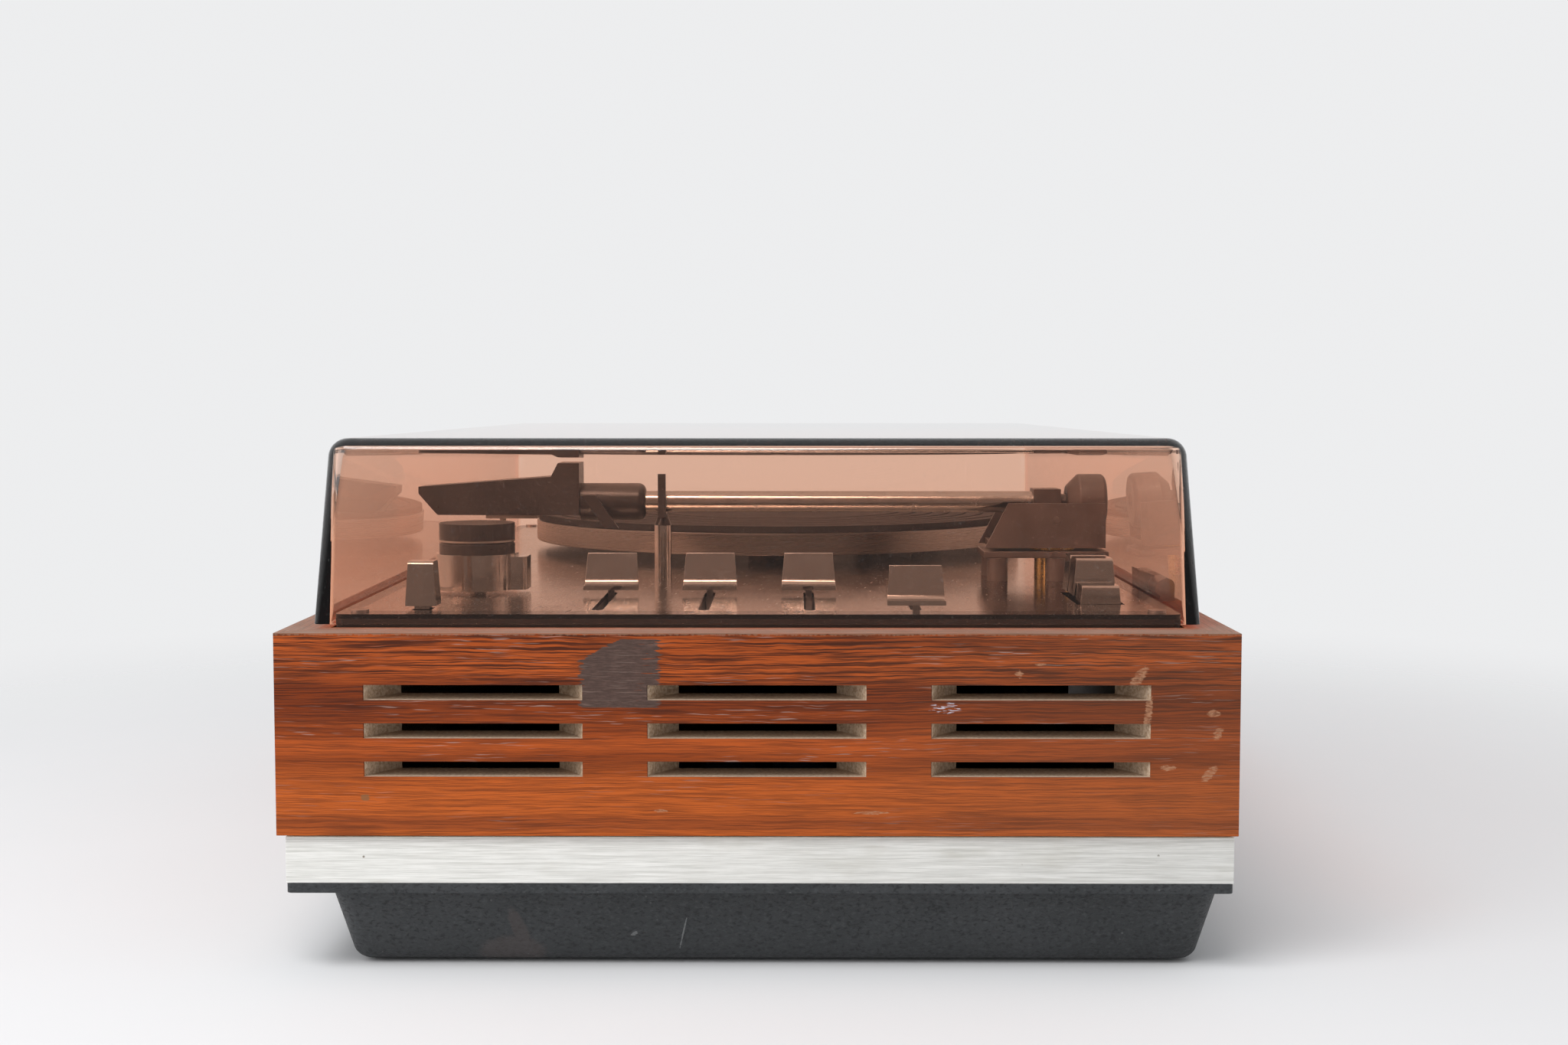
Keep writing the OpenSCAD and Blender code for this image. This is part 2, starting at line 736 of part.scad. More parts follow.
// Outlines of the tray under its flange and at its floor
tray_top = [-half_w + tray_side_inset, half_w - tray_side_inset,
    -half_d + tray_front_inset, half_d - tray_rear_inset];
tray_floor = grown(tray_top, -tray_taper);
// Middles of the tray's screw bosses
boss_x = tray_floor[1] - tray_edge_r - boss_r;
boss_ys = [tray_floor[2] + tray_edge_r + boss_r, (tray_floor[2] + tray_floor[3]) / 2,
    tray_floor[3] - tray_edge_r - boss_r];
// Depth of the wells that hold the tray screws' heads
boss_well = tray_h - boss_floor;
tray_core_r = tray_corner_r - tray_wall;

// Outlines of the cover at its foot and at its top, and the hinge axis
cover_foot = [-half_w + cover_side_inset, half_w - cover_side_inset,
    -half_d + cover_front_inset, half_d - cover_rear_inset];
cover_lean = tan(cover_draft);
// Hollow of the cover: the end walls are thicker at the foot, which just clears the deck
core_top = grown(cover_foot, -cover_wall - (cover_h - cover_wall) * cover_lean);
core_foot = [cover_foot[0] + cover_wall - cut * cover_lean, cover_foot[1] - cover_wall + cut * cover_lean,
    min(-deck_d - cover_deck_gap, core_top[2]), max(deck_d + cover_deck_gap, core_top[3])];
hinge_y = half_d - hinge_in;
z_hinge = z_rim + hinge_up;

// Drive train: idler inside the platter's rim, pulley beside the idler
rim_in_r = platter_r - platter_wall;
idler_dist = rim_in_r - idler_r - drive_gap;
idler_at = [platter_x + idler_dist * cos(idler_angle), platter_y + idler_dist * sin(idler_angle)];
pulley_dist = idler_r + pulley_r + drive_gap;
pulley_at = [idler_at[0] + pulley_dist * cos(pulley_angle), idler_at[1] + pulley_dist * sin(pulley_angle)];
bracket_at = [platter_x + (idler_dist - bracket_back) * cos(idler_angle - bracket_turn),
    platter_y + (idler_dist - bracket_back) * sin(idler_angle - bracket_turn)];
z_idler = z_web - idler_head - idler_t;
z_idler_arm = z_idler - idler_float - idler_arm_t;
z_motor_core = z_board - grommet_h;
mat_r = platter_r - mat_inset;

// Tone arm: distances along Y, from nose to tail
nose_y = -half_d + nose_in_y;
stylus_y = nose_y + stylus_back;
collar_y = nose_y + head_l;
sleeve_y = collar_y + collar_l;
tube_y = sleeve_y + sleeve_l;
lift_y = sleeve_y + lift_from;
tab_l = collar_l * tab_share;
weight_y = arm_y + weight_back;
rest_y = tube_y + rest_behind;
z_head = z_arm - head_drop;
z_stylus = z_mat + stylus_clear;
z_yoke = z_arm_plate + bush_flange_t + seat_clear;
yoke_out = yoke_w / 2 + cheek_t;
column_dx = yoke_w / 2 - column_in;
column_ys = [arm_y - arm_plate_front + column_r + column_set, arm_y];
// Side outline of a cheek: the front edge leans forward to its foot
cheek_end = arm_y + arm_plate_rear - cheek_heel;
cheek = [[arm_y - arm_plate_front + cheek_toe, z_yoke], [arm_y - cheek_top, z_arm], [cheek_end, z_arm],
    [cheek_end, z_yoke]];

// Controls
slider_ys = [for (i = [0 : 3]) (i - 1.5) * slider_pitch - slider_shift];
slot_half = stem_w / 2 + stem_clear;
slot_from = slider_x - stem_l / 2 - stem_clear;
slot_to = slider_x + slider_travel + stem_l / 2 + stem_clear;
pot_from = slot_from - pot_end;
pot_to = slot_to + pot_end;
// Window in the board for the slide potentiometers, as [left, right, front, rear]
pot_window = grown([pot_from, pot_to, slider_ys[0] - pot_w / 2, slider_ys[3] + pot_w / 2], pot_room);
// Window for the three keys
key_window = [key_x - 2 * key_pitch - key_l / 2 - key_gap, key_x + key_l / 2 + key_gap,
    key_y - key_w / 2 - key_gap, key_y + key_w / 2 + key_gap];
key_xs = [for (i = [0 : 2]) key_x - i * key_pitch];
// Window in the board for the power switch, and the slot for the key's stem
power_window = grown([power_x, power_x, power_y, power_y], power_half);
power_slot = [power_x - power_stem / 2 - power_play, power_x + power_stem / 2 + power_play,
    power_y - power_stem / 2 - stem_clear, power_y + power_stem / 2 + stem_clear];

// Inside the cabinet
z_floor = z_tray + tray_wall;
amp = [amp_x - amp_w / 2, amp_x + amp_w / 2, -amp_l / 2, amp_l / 2];
z_amp = z_floor + amp_post_h;
amp_post_xs = [amp[0] + amp_post_inset, amp[1] - amp_post_inset];
amp_post_ys = [amp[2] + amp_post_inset, amp[3] - amp_post_inset];
can_pitch = 2 * cap_can_r + can_gap;
core_window = core_w / 5;
z_socket_mid = (z_wood + z_rim) / 2;
z_socket = z_socket_mid - socket_h / 2;
din_xs = [for (i = [0 : 2]) socket_x - socket_w / 2 + din_first + i * din_pitch];
gland_x = socket_x + socket_w / 2 - gland_set;

// Length rounded to half a millimetre
function half_step(l) = round(2 * l) / 2;
// Outline of a length along X and a width along Y, about a point
function about(x, y, l, w) = [x - l / 2, x + l / 2, y - w / 2, y + w / 2];
// Outline grown on all sides
function grown(o, by) = [o[0] - by, o[1] + by, o[2] - by, o[3] + by];
// Points on an arc about c, from angle a0 to a1
function arc(c, r, a0, a1, n) =
    [for (i = [0 : n]) let (a = a0 + (a1 - a0) * i / n) c + r * [cos(a), sin(a)]];

// Box between two heights on an outline [left, right, front, rear]
module slab(o, z0, z1) {
    translate([o[0], o[2], z0]) cube([o[1] - o[0], o[3] - o[2], z1 - z0]);
}

// The same with round upright corners
module round_slab(o, z0, z1, r) {
    translate([0, 0, z0]) linear_extrude(z1 - z0) {
        translate([o[0] + r, o[2]]) square([o[1] - o[0] - 2 * r, o[3] - o[2]]);
        translate([o[0], o[2] + r]) square([o[1] - o[0], o[3] - o[2] - 2 * r]);
        for (x = [o[0] + r, o[1] - r], y = [o[2] + r, o[3] - r]) translate([x, y]) circle(r);
    }
}

// Drafted box: plain outline with corners of radius foot at z_plain, and at z_round an outline with
// corners of radius r and a rounded edge
module drafted_box(plain, round, z_plain, z_round, foot, r, edge) {
    way = sign(z_round - z_plain);
    hull() {
        for (x = [plain[0] + foot, plain[1] - foot], y = [plain[2] + foot, plain[3] - foot])
            translate([x, y, z_plain + min(0, way * skin)]) cylinder(r = foot, h = skin, $fn = 32);
        for (x = [round[0] + r, round[1] - r], y = [round[2] + r, round[3] - r])
            translate([x, y, z_round - way * edge]) rotate_extrude($fn = 32) intersection() {
                translate([r - edge, 0]) circle(edge, $fn = 32);
                translate([0, -edge]) square([r, 2 * edge]);
            }
    }
}

// Upright pin with its foot at p
module post(p, z0, z1, r) {
    translate([p[0], p[1], z0]) cylinder(r = r, h = z1 - z0);
}

// Bar along X between x0 and x1
module bar_x(x0, x1, y, z, r) {
    translate([x0, y, z]) rotate([0, 90, 0]) cylinder(r = r, h = x1 - x0);
}

// Bar along Y between y0 and y1
module bar_y(x, y0, y1, z, r) {
    translate([x, y1, z]) rotate([90, 0, 0]) cylinder(r = r, h = y1 - y0);
}

// Outline in Y and Z, extruded along X
module side_form(points, x0, x1) {
    translate([x0, 0, 0]) rotate([90, 0, 90]) linear_extrude(x1 - x0) polygon(points);
}

// Outline in X and Z, extruded along Y
module front_form(points, y0, y1) {
    translate([0, y1, 0]) rotate([90, 0, 0]) linear_extrude(y1 - y0) polygon(points);
}

// Base

module base_tray() color([0.07, 0.07, 0.075]) difference() {
    union() {
        difference() {
            union() {
                drafted_box(tray_top, tray_floor, z_flange, z_tray,
                    tray_corner_r, tray_corner_r, tray_edge_r);
                round_slab(band, z_flange, z_frame, flange_corner_r);
            }
            drafted_box(grown(tray_top, -tray_wall + skin), grown(tray_floor, -tray_wall),
                z_frame + cut, z_floor, tray_core_r, tray_core_r, max(tray_edge_r - tray_wall, 1));
        }
        for (x = [-boss_x, boss_x], y = boss_ys) post([x, y], z_floor - cut, z_frame, boss_r);
        for (x = amp_post_xs, y = amp_post_ys) post([x, y], z_floor - cut, z_amp, amp_post_r);
    }
    for (x = [-boss_x, boss_x], y = boss_ys) {
        post([x, y], z_tray - cut, z_tray + boss_well, tray_screw_head_r + seat_clear);
        post([x, y], z_tray, z_frame + cut, tray_screw_r + screw_clear);
    }
}

module rubber_feet() color([0.05, 0.05, 0.05])
    for (x = [tray_floor[0] + foot_inset, tray_floor[1] - foot_inset])
        for (y = [tray_floor[2] + foot_inset, tray_floor[3] - foot_inset])
            post([x, y], 0, z_tray, foot_d / 2);

module tray_screws() color([0.6, 0.6, 0.62])
    for (x = [-boss_x, boss_x], y = boss_ys) {
        post([x, y], z_tray + boss_well - screw_head_h, z_tray + boss_well, tray_screw_head_r);
        post([x, y], z_tray + boss_well - cut, z_frame + tray_screw_grip, tray_screw_r);
    }

module base_frame() color([0.5, 0.38, 0.26]) difference() {
    slab(grown(band, -band_t), z_frame, z_wood);
    slab(grown(band, -band_t - frame_w), z_frame - cut, z_wood + cut);
    for (x = [-boss_x, boss_x], y = boss_ys)
        post([x, y], z_frame - cut, z_frame + tray_screw_grip + seat_clear, tray_screw_r + screw_clear);
}

module trim_band() color([0.72, 0.72, 0.72]) difference() {
    slab(band, z_frame, z_frame + band_h);
    slab(grown(band, -band_t), z_frame - cut, z_frame + band_h + cut);
}

// Wooden panels with mitred ends

module mitred_panel(l, thick) {
    translate([0, 0, z_wood]) linear_extrude(panel_h)
        polygon([[-l / 2, 0], [l / 2, 0], [l / 2 - thick, thick], [-l / 2 + thick, thick]]);
}

module front_panel() color([0.55, 0.24, 0.09])
    translate([0, -half_d, 0]) mitred_panel(cabinet_w, panel_t);

module rear_panel() color([0.55, 0.24, 0.09]) difference() {
    translate([0, half_d, 0]) rotate(180) mitred_panel(cabinet_w, panel_t);
    slab([socket_x - socket_w / 2 + socket_lap, socket_x + socket_w / 2 - socket_lap,
        in_d - cut, half_d + cut],
        z_socket + socket_lap, z_socket + socket_h - socket_lap);
}

module left_panel() color([0.55, 0.24, 0.09])
    translate([-half_w, 0, 0]) rotate(-90) mitred_panel(cabinet_d, panel_t);

// The slots end in slopes, where the round saw has plunged through the panel
module right_panel() color([0.55, 0.24, 0.09]) difference() {
    translate([half_w, 0, 0]) rotate(90) mitred_panel(cabinet_d, panel_t);
    for (i = [0 : vent_cols - 1], j = [0 : vent_rows - 1])
        translate([half_w + vent_saw_out, (i - (vent_cols - 1) / 2) * vent_pitch_y,
            z_rim - vent_drop - j * vent_pitch_z - vent_h / 2])
            cylinder(r = vent_saw_r, h = vent_h);
}

module corner_blocks() color([0.62, 0.47, 0.3])
    for (a = [0, 1], b = [0, 1])
        mirror([a, 0, 0]) mirror([0, b, 0]) difference() {
            translate([in_w, in_d, z_wood]) linear_extrude(z_board - z_wood)
                polygon([[0, 0], [-block_leg, 0], [0, -block_leg]]);
            post([deck_w, deck_d] - deck_screw_inset * [1, 1],
                z_board - deck_screw_grip - seat_clear, z_board + cut, deck_screw_r + screw_clear);
        }

module support_rails() color([0.62, 0.47, 0.3])
    for (s = [-1, 1]) {
        rail_x = s * (in_w - rail_w / 2);
        rail_y = s * (in_d - rail_w / 2);
        slab([rail_x - rail_w / 2, rail_x + rail_w / 2, -in_d + block_leg, in_d - block_leg],
            z_board - rail_h, z_board);
        slab([-in_w + block_leg, in_w - block_leg, rail_y - rail_w / 2, rail_y + rail_w / 2],
            z_board - rail_h, z_board);
    }

// Deck

// Holes that go through the plate and the board alike
module deck_holes(z0, z1, room) {
    post([platter_x, platter_y], z0, z1, bearing_r + room);
    post(pulley_at, z0, z1, pulley_hole_r);
    post([arm_x, arm_y], z0, z1, bush_r + room);
    post([selector_x, selector_y], z0, z1, selector_shaft_r + room);
    slab(key_window, z0, z1);
    for (at = deck_screw_ats) post(at, z0, z1, deck_screw_r + screw_clear);
}

module deck_board() color([0.12, 0.11, 0.11]) difference() {
    round_slab([-deck_w, deck_w, -deck_d, deck_d], z_board, z_plate, deck_corner_r);
    deck_holes(z_board - cut, z_plate + cut, seat_clear);
    slab(pot_window, z_board - cut, z_plate + cut);
    slab(power_window, z_board - cut, z_plate + cut);
}

module deck_plate() color([0.6, 0.58, 0.56]) difference() {
    round_slab([-deck_w, deck_w, -deck_d, deck_d], z_plate, z_deck, deck_corner_r);
    deck_holes(z_plate - cut, z_deck + cut, seat_clear);
    for (y = slider_ys)
        round_slab([slot_from, slot_to, y - slot_half, y + slot_half], z_plate - cut, z_deck + cut,
            slot_half - skin);
    slab(power_slot, z_plate - cut, z_deck + cut);
}

module deck_screws() color([0.6, 0.6, 0.62])
    for (at = deck_screw_ats) {
        post(at, z_deck, z_deck + deck_screw_head_h, deck_screw_head_r);
        post(at, z_board - deck_screw_grip, z_deck + skin, deck_screw_r);
    }

// Drive

module bearing_housing() color([0.55, 0.55, 0.56]) translate([platter_x, platter_y, 0]) difference() {
    union() {
        post([0, 0], z_deck, z_deck + bearing_flange_t, bearing_flange_r);
        post([0, 0], z_deck - shaft_depth - bearing_floor_t, z_deck + skin, bearing_r);
    }
    post([0, 0], z_deck - shaft_depth, z_deck + bearing_flange_t + cut, shaft_r + shaft_clear);
}

module motor() color([0.4, 0.4, 0.42]) translate([pulley_at[0], pulley_at[1], 0]) difference() {
    union() {
        round_slab(motor_w / 2 * [-1, 1, -1, 1], z_motor_core - motor_core_h, z_motor_core, motor_corner_r);
        post([0, 0], z_motor_core - skin, z_motor_core + motor_bell_h, motor_bell_r);
        post([0, 0], z_motor_core - motor_core_h - motor_bell_h, z_motor_core - motor_core_h + skin,
            motor_bell_r);
    }
    post([0, 0], z_motor_core - motor_core_h, z_motor_core + motor_bell_h + cut, motor_shaft_r + shaft_clear);
}

module motor_grommets() color([0.08, 0.08, 0.08])
    for (x = [-1, 1], y = [-1, 1]) {
        at = pulley_at + [x, y] * (motor_w / 2 - grommet_r - grommet_inset);
        difference() {
            post(at, z_motor_core, z_board, grommet_r);
            translate([at[0], at[1], z_motor_core + grommet_h / 2])
                rotate_extrude() translate([grommet_r, 0]) circle(grommet_groove_r, $fn = 24);
        }
    }

// Arm with its pivot post and the axle that the idler turns on
module idler_bracket() color([0.5, 0.5, 0.5]) {
    run = idler_at - bracket_at;
    post(bracket_at, z_deck, z_idler_arm + idler_arm_t, bracket_post_r);
    translate([bracket_at[0], bracket_at[1], z_idler_arm]) rotate(atan2(run[1], run[0])) {
        translate([0, -idler_arm_r, 0]) cube([norm(run), 2 * idler_arm_r, idler_arm_t]);
        translate([norm(run), 0, 0]) cylinder(r = idler_arm_r, h = idler_arm_t);
    }
    post(idler_at, z_idler_arm, z_idler + idler_t + axle_proud, idler_axle_r);
}

module idler_wheel() color([0.15, 0.15, 0.15]) translate([idler_at[0], idler_at[1], z_idler]) difference() {
    cylinder(r = idler_r, h = idler_t);
    for (z = [-cut, idler_t - idler_dish]) translate([0, 0, z]) difference() {
        cylinder(r = idler_r - idler_tyre, h = idler_dish + cut);
        translate([0, 0, -cut]) cylinder(r = idler_hub_r, h = idler_dish + 3 * cut);
    }
    translate([0, 0, -cut]) cylinder(r = idler_axle_r + shaft_clear, h = idler_t + 2 * cut);
}

// Stepped pulley on the motor's shaft
module motor_pulley() color([0.75, 0.65, 0.35]) {
    post(pulley_at, z_motor_core - motor_core_h + seat_clear, z_deck + pulley_gap + skin, motor_shaft_r);
    post(pulley_at, z_deck + pulley_gap, z_idler - pulley_step, pulley_fast_r);
    post(pulley_at, z_idler - pulley_step - skin, z_idler + idler_t, pulley_r);
}

module platter() color([0.62, 0.61, 0.6]) translate([platter_x, platter_y, 0]) difference() {
    union() {
        post([0, 0], z_web, z_platter_top, platter_r);
        difference() {
            post([0, 0], z_platter, z_web + skin, platter_r);
            post([0, 0], z_platter - cut, z_web + cut, rim_in_r);
        }
        post([0, 0], z_hub, z_web + skin, hub_r);
    }
    post([0, 0], z_hub - cut, z_platter_top + cut, shaft_r + shaft_clear);
}

// Rubber mat with ring grooves and a dished label area
module platter_mat() color([0.06, 0.06, 0.06]) translate([platter_x, platter_y, 0]) difference() {
    post([0, 0], z_platter_top, z_mat, mat_r);
    post([0, 0], z_platter_top - cut, z_mat + cut, shaft_r + seat_clear);
    post([0, 0], z_mat - mat_dish, z_mat + cut, mat_r * label_share);
    for (r = [mat_r * groove_share : groove_pitch : mat_r - groove_pitch / 2]) difference() {
        post([0, 0], z_mat - groove_t, z_mat + cut, r + groove_w);
        post([0, 0], z_mat - groove_t - cut, z_mat + 2 * cut, r);
    }
}

module spindle() color([0.8, 0.8, 0.82]) translate([platter_x, platter_y, 0]) {
    z_tip = z_mat + spindle_h - spindle_r / 2;
    post([0, 0], z_deck - shaft_depth + thrust_gap, z_mat - mat_dish, shaft_r);
    post([0, 0], z_collar, z_hub, spindle_collar_r);
    post([0, 0], z_mat - mat_dish - skin, z_tip, spindle_r);
    translate([0, 0, z_tip - skin]) cylinder(r1 = spindle_r, r2 = spindle_r / 3, h = spindle_r / 2);
}

// Tone arm

module arm_base_plate() color([0.16, 0.15, 0.15]) difference() {
    slab([arm_x - yoke_out - arm_plate_lap, arm_x + yoke_out + arm_plate_lap, arm_y - arm_plate_front,
        arm_y + arm_plate_rear], z_arm_plate - arm_plate_t, z_arm_plate);
    post([arm_x, arm_y], z_arm_plate - arm_plate_t - cut, z_arm_plate + cut, bush_r + screw_clear);
}

module arm_columns() color([0.12, 0.11, 0.11])
    for (x = [-column_dx, column_dx], y = column_ys)
        post([arm_x + x, y], z_deck, z_arm_plate - arm_plate_t, column_r);

module arm_bush() color([0.7, 0.6, 0.35]) difference() {
    union() {
        post([arm_x, arm_y], z_board - bush_below, z_arm_plate + skin, bush_r);
        post([arm_x, arm_y], z_arm_plate, z_arm_plate + bush_flange_t, bush_r + bush_flange_w);
    }
    post([arm_x, arm_y], z_board - bush_below - cut, z_arm_plate + bush_flange_t + cut,
        arm_shaft_r + shaft_clear);
}

module arm_yoke() color([0.14, 0.12, 0.12]) difference() {
    union() {
        for (s = [-1, 1]) {
            face = arm_x + s * (yoke_w + cheek_t) / 2;
            side_form(cheek, face - cheek_t / 2, face + cheek_t / 2);
        }
        slab([arm_x - yoke_w / 2 - skin, arm_x + yoke_w / 2 + skin, cheek[0][0] + yoke_base_t, cheek[3][0]],
            z_yoke, z_yoke + yoke_base_t);
        post([arm_x, arm_y], z_board - arm_shaft_below, z_yoke + skin, arm_shaft_r);
    }
    bar_x(arm_x - yoke_w, arm_x + yoke_w, arm_y, z_pitch, pitch_pin_r + shaft_clear);
}

module arm_tube() color([0.75, 0.73, 0.7]) difference() {
    bar_y(arm_x, sleeve_y, arm_y - block_front, z_arm, tube_r);
    bar_y(arm_x, sleeve_y - cut, arm_y - block_front + cut, z_arm, tube_r - tube_wall);
}

// Block that joins the tube, the pitch pin and the counterweight's rod
module arm_block() color([0.13, 0.12, 0.12]) {
    slab([arm_x - block_w / 2, arm_x + block_w / 2, arm_y - block_front, arm_y + block_rear],
        z_pitch - block_below, z_arm + tube_r + block_above);
    bar_x(arm_x - yoke_out, arm_x + yoke_out, arm_y, z_pitch, pitch_pin_r);
    bar_y(arm_x, arm_y, weight_y + weight_l - weight_hollow, z_arm, tail_r);
}

// Moulded head: tapered shell, collar with its tab, and the sleeve that grips the tube
module head_shell() color([0.1, 0.09, 0.09]) difference() {
    union() {
        intersection() {
            side_form([[nose_y, z_head + nose_h], [nose_y, z_head + nose_h - nose_lip],
                [nose_y + chin_l - chin_h, z_head + chin_h], [nose_y + chin_l, z_head],
                [collar_y + skin, z_head], [collar_y + skin, z_head + head_h]],
                arm_x - head_w, arm_x + head_w);
            translate([0, 0, z_head - cut]) linear_extrude(head_h + 2 * cut)
                polygon([[arm_x - nose_w / 2, nose_y], [arm_x + nose_w / 2, nose_y],
                    [arm_x + head_w / 2, collar_y], [arm_x + head_w / 2, collar_y + cut],
                    [arm_x - head_w / 2, collar_y + cut], [arm_x - head_w / 2, collar_y]]);
        }
        side_form([[collar_y, z_head], [sleeve_y, z_head], [sleeve_y, z_arm + tab_up],
            [sleeve_y - tab_l, z_arm + tab_up], [collar_y, z_head + head_h]],
            arm_x - head_w / 2, arm_x + head_w / 2);
        translate([arm_x, sleeve_y - skin, z_arm]) rotate([-90, 0, 0]) rotate_extrude()
            polygon(concat([[0, 0], [sleeve_r, 0]],
                arc([sleeve_r - sleeve_round, sleeve_l - sleeve_round], sleeve_round, 0, 90, 6),
                [[0, sleeve_l]]));
    }
    bar_y(arm_x, sleeve_y, tube_y + cut, z_arm, tube_r + screw_clear);
    slab([arm_x - cartridge_w / 2 - seat_clear, arm_x + cartridge_w / 2 + seat_clear,
        stylus_y - cartridge_front - cavity_room, stylus_y + cartridge_rear + cavity_room],
        z_head - cut, z_arm + cavity_up);
}

// Cartridge hanging in the shell, with its cantilever and stylus
module cartridge() color([0.75, 0.74, 0.72]) {
    slab([arm_x - cartridge_w / 2, arm_x + cartridge_w / 2,
        stylus_y - cartridge_front, stylus_y + cartridge_rear],
        z_head - cartridge_drop, z_arm + cavity_up);
    translate([arm_x, stylus_y, z_stylus])
        cylinder(r1 = stylus_tip_r, r2 = stylus_root_r, h = z_head - cartridge_drop - z_stylus + skin);
}

// Flat bar that leans down and back from the sleeve's side
module finger_lift() color([0.08, 0.08, 0.08]) difference() {
    side_form([[lift_y, z_arm + lift_up], [lift_y + lift_w, z_arm + lift_up],
        [lift_y + lift_run + lift_w, z_head - lift_down], [lift_y + lift_run, z_head - lift_down]],
        arm_x + sleeve_r / 2, arm_x + sleeve_r + lift_t);
    bar_y(arm_x, collar_y - cut, tube_y + cut, z_arm, sleeve_r);
    slab([arm_x, arm_x + sleeve_r, collar_y, tube_y], z_head - lift_down - cut, z_arm);
}

// Weight with a tapered front and a small chamfer at the rear
module counterweight() color([0.09, 0.08, 0.08])
    translate([arm_x, weight_y, z_arm]) rotate([-90, 0, 0]) rotate_extrude()
        polygon([[tail_r + shaft_clear, 0], [weight_r - weight_taper, 0], [weight_r, weight_taper],
            [weight_r, weight_l - weight_chamfer], [weight_r - weight_chamfer, weight_l],
            [tail_r + shaft_clear, weight_l]]);

module arm_rest_post() color([0.62, 0.6, 0.57])
    post([arm_x, rest_y], z_deck, z_deck + rest_post_h, rest_post_r);

// Dark cone with a ledge under the tube and one upright prong on the outer side
module arm_rest_clip() color([0.08, 0.08, 0.08]) {
    ledge = z_arm - tube_r - rest_gap;
    prong_x = arm_x + tube_r + prong_gap;
    translate([arm_x, rest_y, z_deck + rest_post_h])
        cylinder(r1 = rest_post_r, r2 = cone_tip_r, h = ledge - z_deck - rest_post_h);
    slab([arm_x - prong_w, prong_x + prong_t, rest_y - prong_w / 2, rest_y + prong_w / 2],
        ledge - ledge_t, ledge);
    slab(about(prong_x + prong_t / 2, rest_y, prong_t, prong_w), ledge - skin, z_deck + prong_up);
}

// Controls

module slide_pots() color([0.35, 0.35, 0.36])
    for (y = slider_ys) difference() {
        slab([pot_from, pot_to, y - pot_w / 2, y + pot_w / 2], z_plate - pot_h, z_plate);
        slab([slot_from, slot_to, y - slot_half, y + slot_half], z_plate - pot_h + pot_floor, z_plate + cut);
    }

// Bent wing on a flat stem: the face leans out and curls into a lip at its foot
module slider_knob(i, along) color([0.78, 0.76, 0.74]) {
    x = slider_x + along * slider_travel;
    y = slider_ys[i];
    z = z_deck + knob_gap;
    lip_t = knob_t * lip_share;
    foot = [knob_curl + knob_lean * (1 - lip_share), knob_curl];
    outer = concat([[-knob_lean, knob_h - knob_bevel]], arc(foot, knob_curl, curl_from, 270, 6),
        [[foot[0] + knob_lip, 0]]);
    inner = concat([[foot[0] + knob_lip, lip_t]], arc(foot, knob_curl - lip_t, 270, curl_from, 6),
        [[-knob_lean + knob_t, knob_h], [-knob_lean + knob_bevel, knob_h]]);
    intersection() {
        front_form([for (p = concat(outer, inner)) [x - knob_set + p[0], z + p[1]]],
            y - knob_w / 2, y + knob_w / 2);
        side_form([[y - knob_w / 2, z], [y + knob_w / 2, z], [y + knob_top_w / 2, z + knob_h],
            [y - knob_top_w / 2, z + knob_h]], x - knob_h, x + knob_h);
    }
    slab([x - stem_l / 2, x + stem_l / 2, y - stem_w / 2, y + stem_w / 2],
        z_plate - pot_h + pot_floor + cut, z + stem_lap);
}

module slider_knob_1() slider_knob(0, 0);
module slider_knob_2() slider_knob(1, 0);
module slider_knob_3() slider_knob(2, 0);
module slider_knob_4() slider_knob(3, 1);

module key_switch_bank() color([0.3, 0.3, 0.32]) difference() {
    hole = key_stem / 2 + seat_clear;
    slab(grown(key_window, bank_wall), z_board - bank_h, z_board);
    slab(key_window, z_board - bank_well, z_board + cut);
    for (x = key_xs)
        slab([x - hole, x + hole, key_y - hole, key_y + hole], z_board - bank_h + bank_floor, z_board);
}

// Key cap with round top edges on a square stem
module push_key(i, down) color([0.7, 0.66, 0.62]) {
    x = key_xs[i];
    z_top = z_deck + key_up - down * key_travel;
    z_foot = z_top - key_cap_h;
    hull() {
        slab([x - key_l / 2, x + key_l / 2, key_y - key_w / 2, key_y + key_w / 2], z_foot, z_foot + cut);
        for (dx = [-1, 1])
            bar_y(x + dx * (key_l / 2 - key_round), key_y - key_top_w / 2, key_y + key_top_w / 2,
                z_top - key_round, key_round, $fn = 24);
    }
    slab([x - key_stem / 2, x + key_stem / 2, key_y - key_stem / 2, key_y + key_stem / 2],
        z_board - bank_h + bank_floor + cut + (1 - down) * key_travel, z_foot + skin);
}

module key_1() push_key(0, 1);
module key_2() push_key(1, 0);
module key_3() push_key(2, 0);

module selector_switch() color([0.3, 0.3, 0.32]) difference() {
    post([selector_x, selector_y], z_board - switch_h, z_board, switch_r);
    post([selector_x, selector_y], z_board - switch_bore, z_board + cut, selector_shaft_r + shaft_clear);
}

// Round skirt with a nose that points to the setting
module selector_skirt() color([0.75, 0.72, 0.7]) {
    z = z_deck + selector_gap;
    post([selector_x, selector_y], z, z + skirt_h, skirt_r);
    round_slab([selector_x - pointer_half, selector_x + pointer_half, selector_y, selector_y + skirt_nose],
        z, z + skirt_h - pointer_step, pointer_round);
    post([selector_x, selector_y], z_board - switch_bore + seat_clear, z + skin, selector_shaft_r);
}

